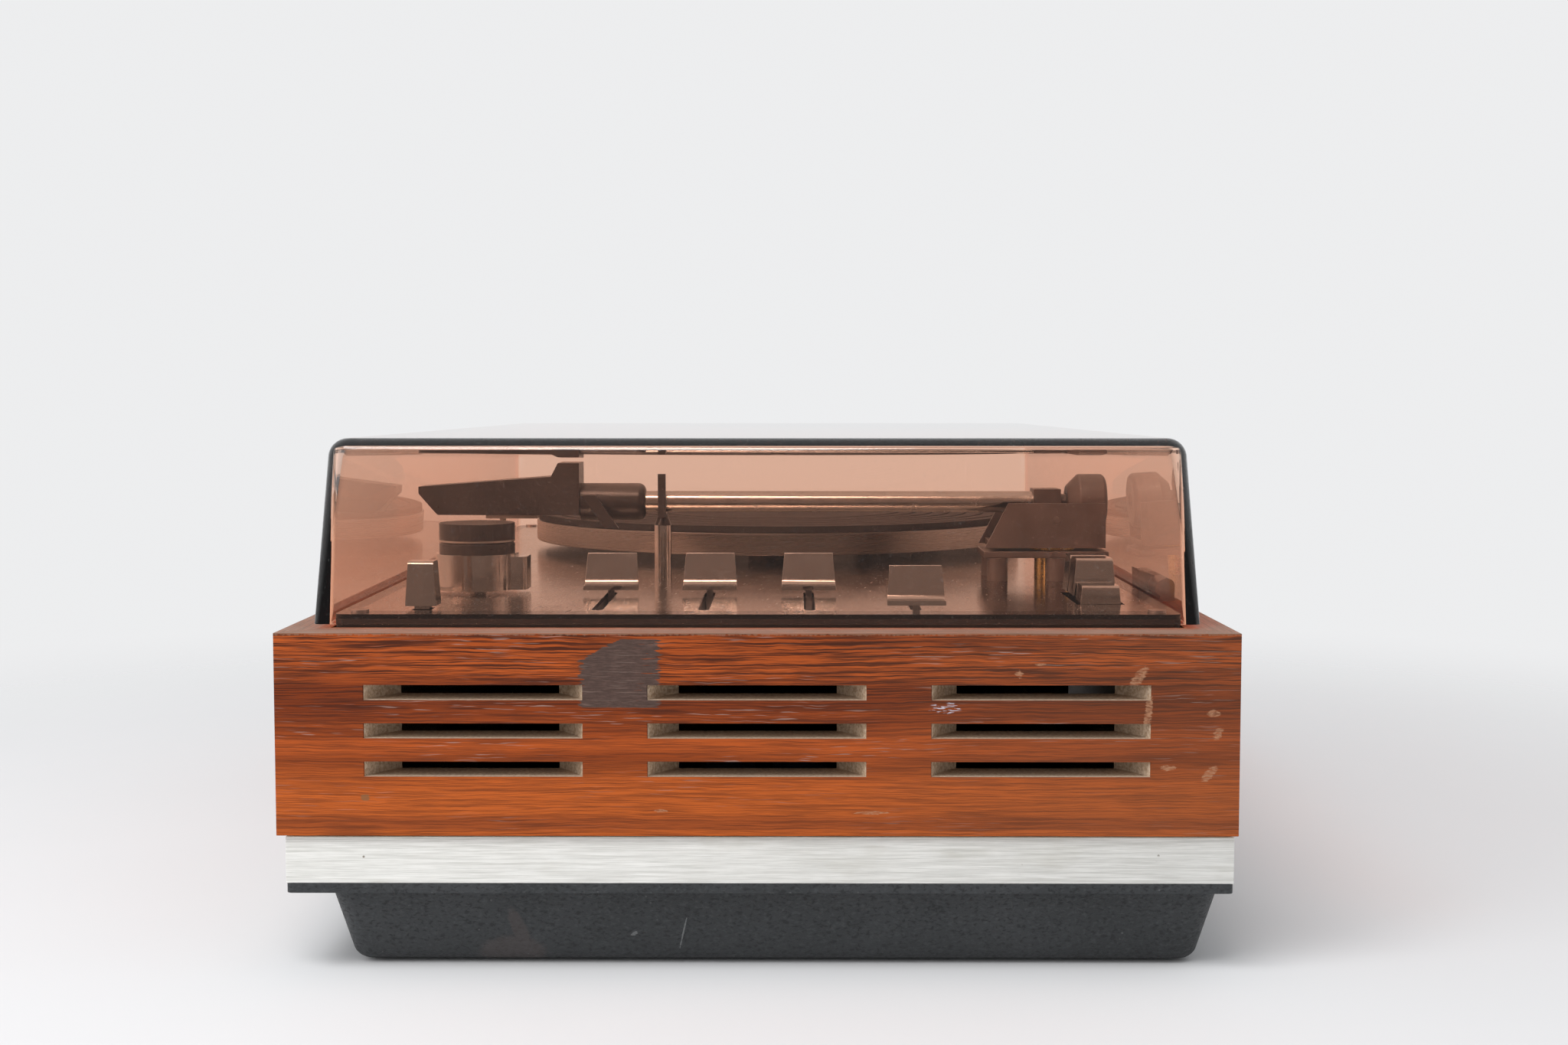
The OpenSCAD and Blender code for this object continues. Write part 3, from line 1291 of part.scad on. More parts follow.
// Cap with a bright ring groove in its lower third
module selector_cap() color([0.12, 0.12, 0.12]) difference() {
    z = z_deck + selector_gap + skirt_h;
    post([selector_x, selector_y], z, z + cap_h, cap_r);
    translate([selector_x, selector_y, z + cap_h * ring_share]) difference() {
        cylinder(r = cap_r + cut, h = ring_h);
        translate([0, 0, -cut]) cylinder(r = cap_r - ring_t, h = ring_h + 2 * cut);
    }
}

module power_switch() color([0.3, 0.3, 0.32]) difference() {
    slab(grown(power_window, -switch_gap), z_plate - board_t, z_plate);
    slab(power_slot, z_plate - board_t + cut, z_plate + cut);
    bar_y(power_x, power_y - power_pin_l / 2 - switch_gap, power_y + power_pin_l / 2 + switch_gap,
        z_deck - power_axis_down, power_pin_r + shaft_clear);
}

// Upright key that tilts on a pin below the deck
module power_key() color([0.7, 0.66, 0.62]) {
    z = z_deck + power_gap;
    hull() {
        slab(about(power_x, power_y, power_l, power_w), z, z + cut);
        for (dx = [-1, 1])
            bar_y(power_x + dx * (power_l / 2 - key_round), power_y - power_top_w / 2,
                power_y + power_top_w / 2, z_deck + power_up - key_round, key_round, $fn = 24);
    }
    slab(about(power_x, power_y, power_stem, power_stem),
        z_deck - power_axis_down - power_stem / 2, z + skin);
    bar_y(power_x, power_y - power_pin_l / 2, power_y + power_pin_l / 2,
        z_deck - power_axis_down, power_pin_r);
}

// Electrics

module transformer_core() color([0.3, 0.28, 0.27]) difference() {
    slab(about(core_x, core_y, core_w, core_t), z_floor, z_floor + core_h);
    for (s = [-1, 1])
        slab([core_x + s * core_w / 4 - core_window / 2, core_x + s * core_w / 4 + core_window / 2,
            core_y - core_t, core_y + core_t], z_floor + core_h / 6, z_floor + core_h * 5 / 6);
}

module transformer_winding() color([0.6, 0.35, 0.15]) difference() {
    leg = core_w / 4 - core_window / 2;
    reach = leg + core_window - 2 * seat_clear;
    round_slab(about(core_x, core_y, 2 * reach, core_t + 2 * core_window),
        z_floor + core_h / 6 + seat_clear, z_floor + core_h * 5 / 6 - seat_clear, winding_round);
    slab(about(core_x, core_y, 2 * leg, core_t), z_floor, z_floor + core_h);
}

module amplifier_board() color([0.55, 0.42, 0.2]) slab(amp, z_amp, z_amp + amp_t);

module capacitors() color([0.25, 0.3, 0.45])
    for (i = [-1.5 : 1.5])
        post([amp[0] + can_inset, i * can_pitch], z_amp + amp_t, z_amp + amp_t + cap_can_h, cap_can_r);

module socket_plate() color([0.1, 0.1, 0.1]) difference() {
    slab(about(socket_x, in_d - socket_t / 2, socket_w, socket_t), z_socket, z_socket + socket_h);
    for (x = din_xs)
        bar_y(x, in_d - socket_t - cut, in_d + cut, z_socket_mid, din_r - din_step + screw_clear);
    bar_y(gland_x, in_d - socket_t - cut, in_d + cut, z_socket_mid, gland_r - din_step + screw_clear);
}

// Round sockets: collar outside the plate, body through it, contact holes in a half ring
module din_sockets() color([0.75, 0.75, 0.76])
    for (x = din_xs) difference() {
        union() {
            bar_y(x, in_d, in_d + din_collar, z_socket_mid, din_r);
            bar_y(x, in_d - socket_t - din_body, in_d + skin, z_socket_mid, din_r - din_step);
        }
        for (a = [0 : 45 : 180])
            bar_y(x + din_ring_r * cos(a), in_d - din_pin_l, in_d + din_collar + cut,
                z_socket_mid + din_ring_r * sin(a), din_pin_r);
    }

module mains_gland() color([0.06, 0.06, 0.06]) difference() {
    union() {
        bar_y(gland_x, in_d, in_d + gland_out, z_socket_mid, gland_r);
        bar_y(gland_x, in_d - socket_t - gland_in, in_d + skin, z_socket_mid, gland_r - din_step);
    }
    bar_y(gland_x, in_d - socket_t - gland_in - cut, in_d + gland_out + cut, z_socket_mid, cord_hole_r);
}

// Cover and its hinges

module dust_cover() color([0.45, 0.25, 0.2, 0.45]) difference() {
    drafted_box(cover_foot, grown(cover_foot, -cover_h * cover_lean),
        z_cover, z_cover_top, cover_foot_r, cover_corner_r, cover_edge_r);
    drafted_box(core_foot, core_top, z_cover - cut, z_cover_top - cover_wall,
        cover_core_r, cover_core_r, cover_core_r);
}

// Place of the cover's rear wall at height z
function rear_wall(z) = cover_foot[3] - (z - z_cover) * cover_lean;

// Middle knuckles, with a foot that lies against the cover's sloping rear wall
module cover_lugs() color([0.12, 0.1, 0.1])
    for (s = [-1, 1]) difference() {
        union() {
            side_form([[rear_wall(z_hinge - lug_half), z_hinge - lug_half], [hinge_y, z_hinge - lug_half],
                [hinge_y, z_hinge + lug_half], [rear_wall(z_hinge + lug_rise), z_hinge + lug_rise]],
                s * hinge_x - knuckle_w / 2, s * hinge_x + knuckle_w / 2);
            bar_x(s * hinge_x - knuckle_w / 2, s * hinge_x + knuckle_w / 2, hinge_y, z_hinge, knuckle_r);
        }
        bar_x(s * hinge_x - knuckle_w, s * hinge_x + knuckle_w, hinge_y, z_hinge, hinge_pin_r + shaft_clear);
    }

// Leaf on the rim with a knuckle on each side of the cover's own
module hinge_brackets() color([0.5, 0.5, 0.5])
    for (s = [-1, 1]) difference() {
        union() {
            slab(about(s * hinge_x, hinge_y, 2 * leaf_half, 2 * knuckle_r), z_rim, z_rim + leaf_t);
            for (side = [-1, 1]) {
                at = s * hinge_x + side * (leaf_half + knuckle_w / 2 + knuckle_gap) / 2;
                half = (leaf_half - knuckle_w / 2 - knuckle_gap) / 2;
                bar_x(at - half, at + half, hinge_y, z_hinge, knuckle_r);
                slab([at - half, at + half, hinge_y - knuckle_r / 2, hinge_y + knuckle_r], z_rim, z_hinge);
            }
        }
        bar_x(s * hinge_x - leaf_half - cut, s * hinge_x + leaf_half + cut, hinge_y, z_hinge,
            hinge_pin_r + shaft_clear);
    }

module hinge_pins() color([0.75, 0.75, 0.76])
    for (s = [-1, 1])
        bar_x(s * hinge_x - leaf_half, s * hinge_x + leaf_half, hinge_y, z_hinge, hinge_pin_r);

base_tray();
rubber_feet();
tray_screws();
base_frame();
trim_band();
front_panel();
rear_panel();
left_panel();
right_panel();
corner_blocks();
support_rails();
deck_board();
deck_plate();
deck_screws();
bearing_housing();
motor();
motor_grommets();
idler_bracket();
arm_base_plate();
arm_columns();
arm_bush();
arm_rest_post();
arm_rest_clip();
slide_pots();
key_switch_bank();
selector_switch();
power_switch();
transformer_core();
transformer_winding();
amplifier_board();
capacitors();
socket_plate();
din_sockets();
mains_gland();
hinge_brackets();
hinge_pins();
platter();
platter_mat();
spindle();
idler_wheel();
motor_pulley();
arm_yoke();
arm_tube();
arm_block();
head_shell();
cartridge();
finger_lift();
counterweight();
slider_knob_1();
slider_knob_2();
slider_knob_3();
slider_knob_4();
key_1();
key_2();
key_3();
selector_skirt();
selector_cap();
power_key();
dust_cover();
cover_lugs();
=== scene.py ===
import bpy
import math
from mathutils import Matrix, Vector


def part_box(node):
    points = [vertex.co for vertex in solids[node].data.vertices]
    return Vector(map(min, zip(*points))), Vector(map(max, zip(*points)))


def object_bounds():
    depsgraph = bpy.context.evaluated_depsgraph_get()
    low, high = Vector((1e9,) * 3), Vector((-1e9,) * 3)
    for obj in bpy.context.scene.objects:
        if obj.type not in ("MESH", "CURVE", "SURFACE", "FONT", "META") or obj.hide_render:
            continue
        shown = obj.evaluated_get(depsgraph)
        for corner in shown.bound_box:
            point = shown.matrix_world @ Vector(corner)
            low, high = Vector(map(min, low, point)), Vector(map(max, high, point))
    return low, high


# Lengths are in metres and angles in radians, unless a comment says otherwise.
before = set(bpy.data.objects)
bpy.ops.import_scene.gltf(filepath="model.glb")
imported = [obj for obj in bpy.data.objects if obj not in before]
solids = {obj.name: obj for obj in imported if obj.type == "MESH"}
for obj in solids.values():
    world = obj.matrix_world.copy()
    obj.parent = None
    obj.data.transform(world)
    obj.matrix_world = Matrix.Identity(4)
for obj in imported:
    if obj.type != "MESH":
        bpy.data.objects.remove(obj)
cad_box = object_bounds()
cad_low, cad_high = cad_box
scene = bpy.context.scene


class Nodes:
    """Short calls that lay out the nodes of one material or node group."""

    def __init__(self, tree):
        self.tree = tree

    def add(self, kind, inputs=None, **settings):
        node = self.tree.nodes.new(kind)
        for name, value in settings.items():
            setattr(node, name, value)
        for key, value in (inputs or {}).items():
            self.feed(node.inputs[key], value)
        return node

    def feed(self, socket, value):
        if isinstance(value, bpy.types.NodeSocket):
            self.tree.links.new(value, socket)
        elif socket.type == "RGBA":
            socket.default_value = (*value[:3], 1)
        else:
            socket.default_value = value

    def calc(self, operation, a, b=0.0, clamp=False):
        node = self.add("ShaderNodeMath", {0: a, 1: b}, operation=operation, use_clamp=clamp)
        return node.outputs[0]

    def plus(self, a, b, clamp=False):
        return self.calc("ADD", a, b, clamp)

    def minus(self, a, b):
        return self.calc("SUBTRACT", a, b)

    def times(self, *values):
        result = values[0]
        for value in values[1:]:
            result = self.calc("MULTIPLY", result, value)
        return result

    def most(self, *values):
        result = values[0]
        for value in values[1:]:
            result = self.calc("MAXIMUM", result, value)
        return result

    def fade(self, value, low, high, start=0.0, end=1.0):
        inputs = {"Value": value, "From Min": low, "From Max": high, "To Min": start, "To Max": end}
        return self.add("ShaderNodeMapRange", inputs, interpolation_type="SMOOTHSTEP").outputs[0]

    def noise(self, place, scale, detail=2.0, rough=0.5, warp=0.0):
        inputs = {"Vector": place, "Scale": scale, "Detail": detail, "Roughness": rough}
        return self.add("ShaderNodeTexNoise", {**inputs, "Distortion": warp}).outputs[0]

    def drawn(self, place, density, detail=2.0, rough=0.5, warp=0.0):
        """Noise with its own density, in cells a metre, along each axis."""
        return self.noise(self.vector("MULTIPLY", place, density), 1, detail, rough, warp)

    def cells(self, place, scale):
        return self.add("ShaderNodeTexVoronoi", {"Vector": place, "Scale": scale}).outputs[0]

    def vector(self, operation, a, b=(0, 0, 0)):
        return self.add("ShaderNodeVectorMath", {0: a, 1: b}, operation=operation).outputs[0]

    def length(self, place):
        return self.add("ShaderNodeVectorMath", {0: place}, operation="LENGTH").outputs["Value"]

    def split(self, place):
        return self.add("ShaderNodeSeparateXYZ", {0: place}).outputs

    def join(self, x, y, z):
        return self.add("ShaderNodeCombineXYZ", {0: x, 1: y, 2: z}).outputs[0]

    def tint(self, factor, a, b):
        return self.add("ShaderNodeMix", {0: factor, 6: a, 7: b}, data_type="RGBA").outputs[2]

    def bump(self, height, depth, strength):
        inputs = {"Strength": strength, "Distance": depth, "Height": height}
        return self.add("ShaderNodeBump", inputs).outputs[0]

    def effect(self, effect, **inputs):
        node = self.add("ShaderNodeGroup", None, node_tree=effect)
        for key, value in inputs.items():
            self.feed(node.inputs[key.capitalize()], value)
        return node.outputs

    def mixed(self, factor, a, b):
        return self.add("ShaderNodeMixShader", {0: factor, 1: a, 2: b}).outputs[0]

    def facing_up(self):
        return self.split(self.add("ShaderNodeNewGeometry").outputs["Normal"])[2]


def effect_group(name, inputs, outputs):
    """A shader group that reads a place; returns it with its nodes, inputs and outputs."""
    tree = bpy.data.node_groups.new(name, "ShaderNodeTree")
    for label, kind, start in [("Place", "Vector", None), *inputs]:
        socket = tree.interface.new_socket(label, in_out="INPUT", socket_type="NodeSocket" + kind)
        if kind == "Float":
            socket.default_value = start
    for label in outputs:
        tree.interface.new_socket(label, in_out="OUTPUT", socket_type="NodeSocketFloat")
    n = Nodes(tree)
    return tree, n, n.add("NodeGroupInput").outputs, n.add("NodeGroupOutput").inputs


def make_veneer_grain():
    """Bands, dark streaks, fine dark lines and pale pores of a veneer whose grain runs along x."""
    tree, n, given, out = effect_group("veneer_grain", [], ["Bands", "Streaks", "Lines", "Pale"])
    wave_height, ripple_height = 0.006, 0.0008
    wave = n.drawn(given["Place"], (6, 18, 18))
    ripple = n.drawn(given["Place"], (120, 160, 160))
    bend = n.times(n.minus(wave, 0.5), wave_height)
    bend = n.plus(bend, n.times(n.minus(ripple, 0.5), ripple_height))
    place = n.vector("ADD", given["Place"], n.join(0, bend, 0))
    n.feed(out["Bands"], n.drawn(place, (1.8, 62, 62), 3, 0.6))
    n.feed(out["Streaks"], n.fade(n.drawn(place, (20, 1200, 1200), 3, 0.7), 0.47, 0.60))
    n.feed(out["Lines"], n.fade(n.drawn(place, (50, 2500, 2500), 2, 0.6), 0.48, 0.58))
    elsewhere = n.vector("ADD", place, (3.1, 1.7, 0.4))
    n.feed(out["Pale"], n.fade(n.drawn(elsewhere, (80, 1900, 1900), 1), 0.61, 0.70))
    return tree


def make_rubbed_spot():
    """A ragged oval spot, for a scuff or a stain."""
    inputs = [("Centre", "Vector", None), ("Size", "Vector", None)]
    inputs += [("Turn", "Float", 0.0), ("Ragged", "Float", 0.6)]
    tree, n, given, out = effect_group("rubbed_spot", inputs, ["Mask"])
    about = {"Vector": given["Place"], "Center": given["Centre"], "Angle": given["Turn"]}
    turned = n.add("ShaderNodeVectorRotate", about, rotation_type="Z_AXIS").outputs[0]
    offset = n.vector("SUBTRACT", turned, given["Centre"])
    reach = n.length(n.vector("DIVIDE", offset, given["Size"]))
    rough = n.drawn(given["Place"], (420, 1300, 900), 4, 0.65)
    spread = n.times(n.minus(rough, 0.5), n.times(given["Ragged"], 4))
    n.feed(out["Mask"], n.fade(n.plus(reach, spread), 1.0, 0.72))
    return tree


def make_lost_veneer():
    """An upright rectangle with one cut corner, whose sides are torn along the grain."""
    inputs = [("Centre", "Vector", None), ("Size", "Vector", None)]
    tree, n, given, out = effect_group("lost_veneer", inputs, ["Mask"])
    tear_along, tear_across = 0.009, 0.12
    torn = n.drawn(given["Place"], (150, 1500, 0), 4, 0.7)
    step = n.times(n.minus(torn, 0.5), tear_along)
    place = n.vector("ADD", given["Place"], n.join(step, n.times(step, tear_across), 0))
    offset = n.vector("DIVIDE", n.vector("SUBTRACT", place, given["Centre"]), given["Size"])
    across, up, _ = n.split(offset)
    corner = n.times(n.minus(up, n.times(across, 0.62)), 0.99)
    sides = n.most(n.calc("ABSOLUTE", across), n.calc("ABSOLUTE", up))
    n.feed(out["Mask"], n.fade(n.most(sides, corner), 1.012, 0.99))
    return tree


def make_settled_dust():
    """A film of dust on faces turned up, and scattered grains."""
    inputs = [("Up", "Float", 0.0), ("Amount", "Float", 0.3), ("Rarity", "Float", 0.60)]
    tree, n, given, out = effect_group("settled_dust", inputs, ["Film", "Grains"])
    cloud = n.fade(n.noise(given["Place"], 60, 4, 0.6), 0.2, 0.9, 0.45, 1.0)
    lying = n.fade(given["Up"], 0.4, 0.95)
    n.feed(out["Film"], n.times(lying, given["Amount"], cloud))
    grain = n.fade(n.cells(given["Place"], 420), 0.2, 0.1)
    patches = n.noise(given["Place"], 190)
    chance = n.fade(patches, given["Rarity"], n.plus(given["Rarity"], 0.06))
    n.feed(out["Grains"], n.times(grain, chance, given["Amount"]))
    return tree


def make_brushing():
    """Fine parallel brushing along x, in strokes of a few centimetres."""
    tree, n, given, out = effect_group("brushing", [], ["Lines"])
    fine = n.drawn(given["Place"], (70, 4200, 4200), 3, 0.7)
    broad = n.drawn(given["Place"], (30, 1100, 1100))
    n.feed(out["Lines"], n.plus(n.times(fine, 0.6), n.times(broad, 0.4)))
    return tree


def make_hairlines():
    """Thin straight scratches in three directions."""
    inputs = [("Scale", "Float", 1.0), ("Rarity", "Float", 0.79)]
    tree, n, given, out = effect_group("hairlines", inputs, ["Mask"])
    lines = []
    for turn in (0.35, 1.25, 2.15):
        about = {"Vector": given["Place"], "Axis": (0.8, 0.35, 0.5), "Angle": turn}
        turned = n.add("ShaderNodeVectorRotate", about).outputs[0]
        drawn = n.vector("MULTIPLY", turned, (16, 1500, 1500))
        full = n.plus(given["Rarity"], 0.04)
        lines.append(n.fade(n.noise(drawn, given["Scale"], 0), given["Rarity"], full))
    n.feed(out["Mask"], n.most(*lines))
    return tree


veneer_grain = make_veneer_grain()
rubbed_spot = make_rubbed_spot()
lost_veneer = make_lost_veneer()
settled_dust = make_settled_dust()
brushing = make_brushing()
hairlines = make_hairlines()


def new_material(name, metallic=0.0, **plain):
    """A material with one Principled shader; returns it, its nodes, the shader's inputs,
    the object coordinates and the output node."""
    material = bpy.data.materials.new(name)
    material.use_nodes = True
    material.node_tree.nodes.clear()
    n = Nodes(material.node_tree)
    shader = n.add("ShaderNodeBsdfPrincipled", {"Metallic": metallic})
    for label, value in plain.items():
        n.feed(shader.inputs[label.replace("_", " ")], value)
    output = n.add("ShaderNodeOutputMaterial", {"Surface": shader.outputs[0]})
    place = n.add("ShaderNodeTexCoord").outputs["Object"]
    return material, n, shader.inputs, place, output


def spot_mask(n, flat, centre, size, turn=0.0, ragged=0.6):
    """A rubbed spot on a face, from its middle and its half sizes along and up the face."""
    spot = n.effect(rubbed_spot, place=flat, centre=(*centre, 0), size=(*size, 1), turn=turn, ragged=ragged)
    return spot["Mask"]


# Linear colours of the veneer, its marks, a painted shade and the board under it.
teak_dark = (0.20, 0.035, 0.0062)
teak_light = (0.46, 0.090, 0.0150)
teak_foot = (0.54, 0.118, 0.0185)
teak_foot_band = (0.20, 0.042, 0.0120)
teak_streak = (0.040, 0.010, 0.0050)
teak_line = (0.045, 0.012, 0.0060)
teak_pore = (0.34, 0.225, 0.19)
# Colour of the painted shade on the right panel's rear end.
teak_painted_shade = (0.125, 0.062, 0.036)
teak_scuff = (0.42, 0.215, 0.12)
teak_knot = (0.22, 0.105, 0.045)
teak_worn = (0.27, 0.165, 0.11)
pale_paint = (0.60, 0.57, 0.64)
bare_dark = (0.072, 0.045, 0.037)
bare_light = (0.115, 0.070, 0.058)
bare_fibre = (0.33, 0.24, 0.20)
board_dark = (0.42, 0.29, 0.19)
board_light = (0.68, 0.54, 0.40)
wood_dust = (0.40, 0.33, 0.28)
wood_lint = (0.68, 0.64, 0.60)

# Scuffs on the right panel: y and z of the middle, half sizes, turn and raggedness.
scuffs = [
    ((0.1222, 0.0977), (0.0052, 0.0017), 2.2, 0.40),
    ((0.1254, 0.0860), (0.0013, 0.0070), 0.12, 0.45),
    ((0.1463, 0.0862), (0.0024, 0.0013), 0.0, 0.30),
    ((0.1479, 0.0795), (0.0014, 0.0024), 0.5, 0.6),
    ((0.1320, 0.0686), (0.0026, 0.0010), 0.0, 0.5),
    ((0.1453, 0.0668), (0.0036, 0.0016), 2.4, 0.35),
    ((0.0372, 0.0539), (0.0060, 0.0006), 0.0, 0.45),
    ((-0.0310, 0.0545), (0.0022, 0.0006), 0.0, 0.4),
    ((0.0907, 0.1020), (0.0020, 0.0005), 0.0, 0.3),
    ((0.0840, 0.0990), (0.0012, 0.0012), 0.0, 0.7),
]


def veneer_colour(n, flat, up, grain):
    """Veneer that is darker and more streaked towards the top, with a dark band near the foot."""
    low, upper = n.fade(up, 0.077, 0.058), n.fade(up, 0.074, 0.104)
    colour = n.tint(n.fade(grain["Bands"], 0.36, 0.64), teak_dark, teak_light)
    colour = n.tint(n.times(low, 0.72), colour, teak_foot)
    foot_band = n.times(n.fade(up, 0.0540, 0.0510), n.fade(up, 0.0478, 0.0490))
    colour = n.tint(n.times(foot_band, 0.5), colour, teak_foot_band)
    streaks = n.times(grain["Streaks"], n.plus(0.36, n.times(upper, 0.52)))
    colour = n.tint(streaks, colour, teak_streak)
    lines = n.times(grain["Lines"], n.plus(0.34, n.times(upper, 0.26)))
    colour = n.tint(lines, colour, teak_line)
    dusty = n.fade(n.drawn(flat, (16, 110, 1), 3), 0.46, 0.64)
    pores = n.times(grain["Pale"], dusty, n.minus(0.8, n.times(low, 0.55)))
    return n.tint(pores, colour, teak_pore)


def side_marks(n, flat, y, grain, colour, gloss):
    """Painted shade towards the rear end, a place without veneer, scuffs, a knot and specks of paint on the
    right panel.
    """
    # Painted shade: the panel's colour darkens smoothly towards its rear end, where less light falls.
    grime_and_shade = n.times(n.fade(y, -0.02, 0.14), 0.30)
    colour = n.tint(grime_and_shade, colour, teak_painted_shade)
    bare = n.effect(lost_veneer, place=flat, centre=(-0.0440, 0.0990, 0), size=(0.0126, 0.0110, 1))["Mask"]
    fibre = n.drawn(flat, (300, 1500, 1), 3, 0.7)
    board = n.tint(n.fade(fibre, 0.35, 0.75), bare_dark, bare_light)
    board = n.tint(n.times(grain["Pale"], 0.2), board, bare_fibre)
    flakes = n.fade(n.drawn(flat, (190, 1500, 1)), 0.62, 0.66)
    kept = n.times(flakes, n.fade(y, -0.042, -0.032), 0.9)
    bare = n.times(bare, n.minus(1, kept))
    colour = n.tint(bare, colour, board)
    gloss = n.plus(gloss, n.times(bare, 0.35))
    rubbed = n.most(*[spot_mask(n, flat, *scuff) for scuff in scuffs])
    scraped = n.fade(n.drawn(flat, (520, 1900, 1), 3, 0.6), 0.38, 0.62, 0.2, 0.85)
    colour = n.tint(n.times(rubbed, scraped), colour, teak_scuff)
    knot = spot_mask(n, flat, (-0.1262, 0.0588), (0.0017, 0.0012), ragged=0.3)
    colour = n.tint(n.times(knot, 0.8), colour, teak_knot)
    paint = spot_mask(n, flat, (0.0605, 0.0879), (0.0060, 0.0020), ragged=0.2)
    dashes = n.fade(n.drawn(flat, (330, 2600, 1), 1), 0.56, 0.62)
    colour = n.tint(n.times(paint, n.times(dashes, 0.8)), colour, pale_paint)
    return colour, gloss


def teak_panel(name, along, depth_axis, outer, marked=False):
    """Satin veneer on board; what lies deeper than the veneer is raw board."""
    veneer, veneer_blur, grain_depth = 0.0004, 0.0003, 0.00006
    rim, rim_blur, rim_wear = 0.1114, 0.0005, 0.0022
    material, n, face, place, _ = new_material(name, Specular_IOR_Level=0.16)
    where = n.split(place)
    up = where[2]
    depth = n.times(n.minus(outer, where[depth_axis]), math.copysign(1, outer))
    flat = n.join(where[along], n.plus(up, depth), 0)
    grain = n.effect(veneer_grain, place=flat)
    colour = veneer_colour(n, flat, up, grain)
    gloss = n.plus(0.40, n.times(grain["Streaks"], 0.14))
    if marked:
        colour, gloss = side_marks(n, flat, where[1], grain, colour, gloss)
    raw = n.fade(depth, veneer, veneer + veneer_blur)
    chips = n.drawn(place, (900, 900, 900), 3, 0.6)
    inside = n.tint(n.fade(chips, 0.3, 0.7), board_dark, board_light)
    top = n.fade(up, rim, rim + rim_blur)
    colour = n.tint(n.times(raw, n.minus(1, top)), colour, inside)
    frayed = n.plus(up, n.times(n.minus(chips, 0.5), rim_wear))
    worn = n.fade(frayed, rim - 0.0002, rim + 0.0003)
    colour = n.tint(n.times(worn, 0.55), colour, teak_worn)
    facing = n.facing_up()
    dust = n.effect(settled_dust, place=place, up=facing, amount=0.5)
    colour = n.tint(dust["Film"], colour, wood_dust)
    lying = n.times(dust["Grains"], n.fade(facing, 0.4, 0.9))
    n.feed(face["Base Color"], n.tint(n.times(lying, 0.6), colour, wood_lint))
    n.feed(face["Roughness"], n.plus(gloss, n.times(raw, 0.3), clamp=True))
    height = n.minus(n.times(grain["Streaks"], -0.6), grain["Lines"])
    n.feed(face["Normal"], n.bump(height, grain_depth, 0.5))
    return material


def brushed_band():
    """Bright aluminium strip, brushed along the cabinet, with small stains."""
    strip_foot = 0.0304
    material, n, face, place, _ = new_material(
        "brushed_band", 0.55, Anisotropic=0.8, Anisotropic_Rotation=0.25)
    where = n.split(place)
    flat = n.join(n.plus(where[0], where[1]), where[2], 0)
    lines = n.effect(brushing, place=flat)["Lines"]
    colour = n.tint(n.fade(lines, 0.35, 0.65), (0.70, 0.695, 0.655), (0.98, 0.975, 0.94))
    cloud = n.drawn(flat, (22, 60, 1), 4, 0.6)
    colour = n.tint(n.times(n.fade(cloud, 0.52, 0.72), 0.30), colour, (0.56, 0.54, 0.46))
    specks = n.times(n.fade(n.cells(flat, 230), 0.12, 0.06), n.fade(n.noise(flat, 85), 0.62, 0.68))
    colour = n.tint(n.times(specks, 0.8), colour, (0.16, 0.11, 0.07))
    near_foot = n.fade(where[2], strip_foot + 0.0018, strip_foot)
    # Patchy dirt along the strip's foot.
    grime_and_shade = n.times(near_foot, n.fade(n.noise(flat, 70, 3), 0.5, 0.62))
    grime_and_shade = n.times(grime_and_shade, n.fade(n.noise(flat, 9), 0.5, 0.62))
    colour = n.tint(n.times(grime_and_shade, 0.7), colour, (0.30, 0.21, 0.12))
    n.feed(face["Base Color"], colour)
    n.feed(face["Roughness"], n.fade(lines, 0.3, 0.7, 0.64, 0.52))
    n.feed(face["Normal"], n.bump(lines, 0.00004, 0.35))
    return material


def grained_tray():
    """Black moulding with a fine leather-like texture, painted highlights on its raised grain, painted
    shade in its hollows and towards the foot, a smear and a few scratches.
    """
    material, n, face, place, _ = new_material("grained_tray", Specular_IOR_Level=0.45)
    where = n.split(place)
    pebble = n.drawn(place, (620, 620, 1050), 2, 0.5, 0.6)
    fine = n.noise(place, 2300)
    shade = n.noise(place, 26, 3)
    colour = n.tint(n.fade(shade, 0.3, 0.7), (0.025, 0.028, 0.030), (0.036, 0.039, 0.042))
    # Painted highlight: the raised tops of the grain are lighter.
    colour = n.tint(n.times(n.fade(pebble, 0.55, 0.7), 0.45), colour, (0.060, 0.065, 0.068))
    # Painted shade: the hollows of the grain are darker.
    colour = n.tint(n.times(n.fade(pebble, 0.45, 0.34), 0.75), colour, (0.010, 0.011, 0.012))
    # Painted shade: the tray darkens towards its foot.
    colour = n.tint(n.fade(where[2], 0.016, 0.001, 0.0, 0.4), colour, (0.014, 0.015, 0.016))
    flat = n.join(where[1], where[2], 0)
    right_side = n.fade(where[0], 0.1, 0.15)
    smear = spot_mask(n, flat, (-0.081, 0.004), (0.0125, 0.007), ragged=0.12)
    trail = spot_mask(n, flat, (-0.0785, 0.0125), (0.0028, 0.009), -0.35, 0.15)
    smudge = n.times(n.most(smear, trail), right_side)
    colour = n.tint(n.times(smudge, 0.45), colour, (0.075, 0.058, 0.055))
    scratch = spot_mask(n, flat, (-0.0245, 0.0115), (0.0003, 0.0062), 0.22, 0.45)
    chip = spot_mask(n, flat, (-0.0407, 0.0109), (0.0014, 0.0007), -0.4, 0.5)
    nicks = n.times(n.most(scratch, chip), right_side)
    colour = n.tint(n.times(nicks, 0.4), colour, (0.30, 0.31, 0.31))
    dust = n.effect(settled_dust, place=place, up=n.facing_up(), amount=0.5)
    n.feed(face["Base Color"], n.tint(n.times(dust["Grains"], 0.4), colour, (0.3, 0.3, 0.3)))
    n.feed(face["Roughness"], n.fade(pebble, 0.3, 0.7, 0.58, 0.46))
    n.feed(face["Normal"], n.bump(n.plus(pebble, n.times(fine, 0.4)), 0.0006, 0.6))
    return material


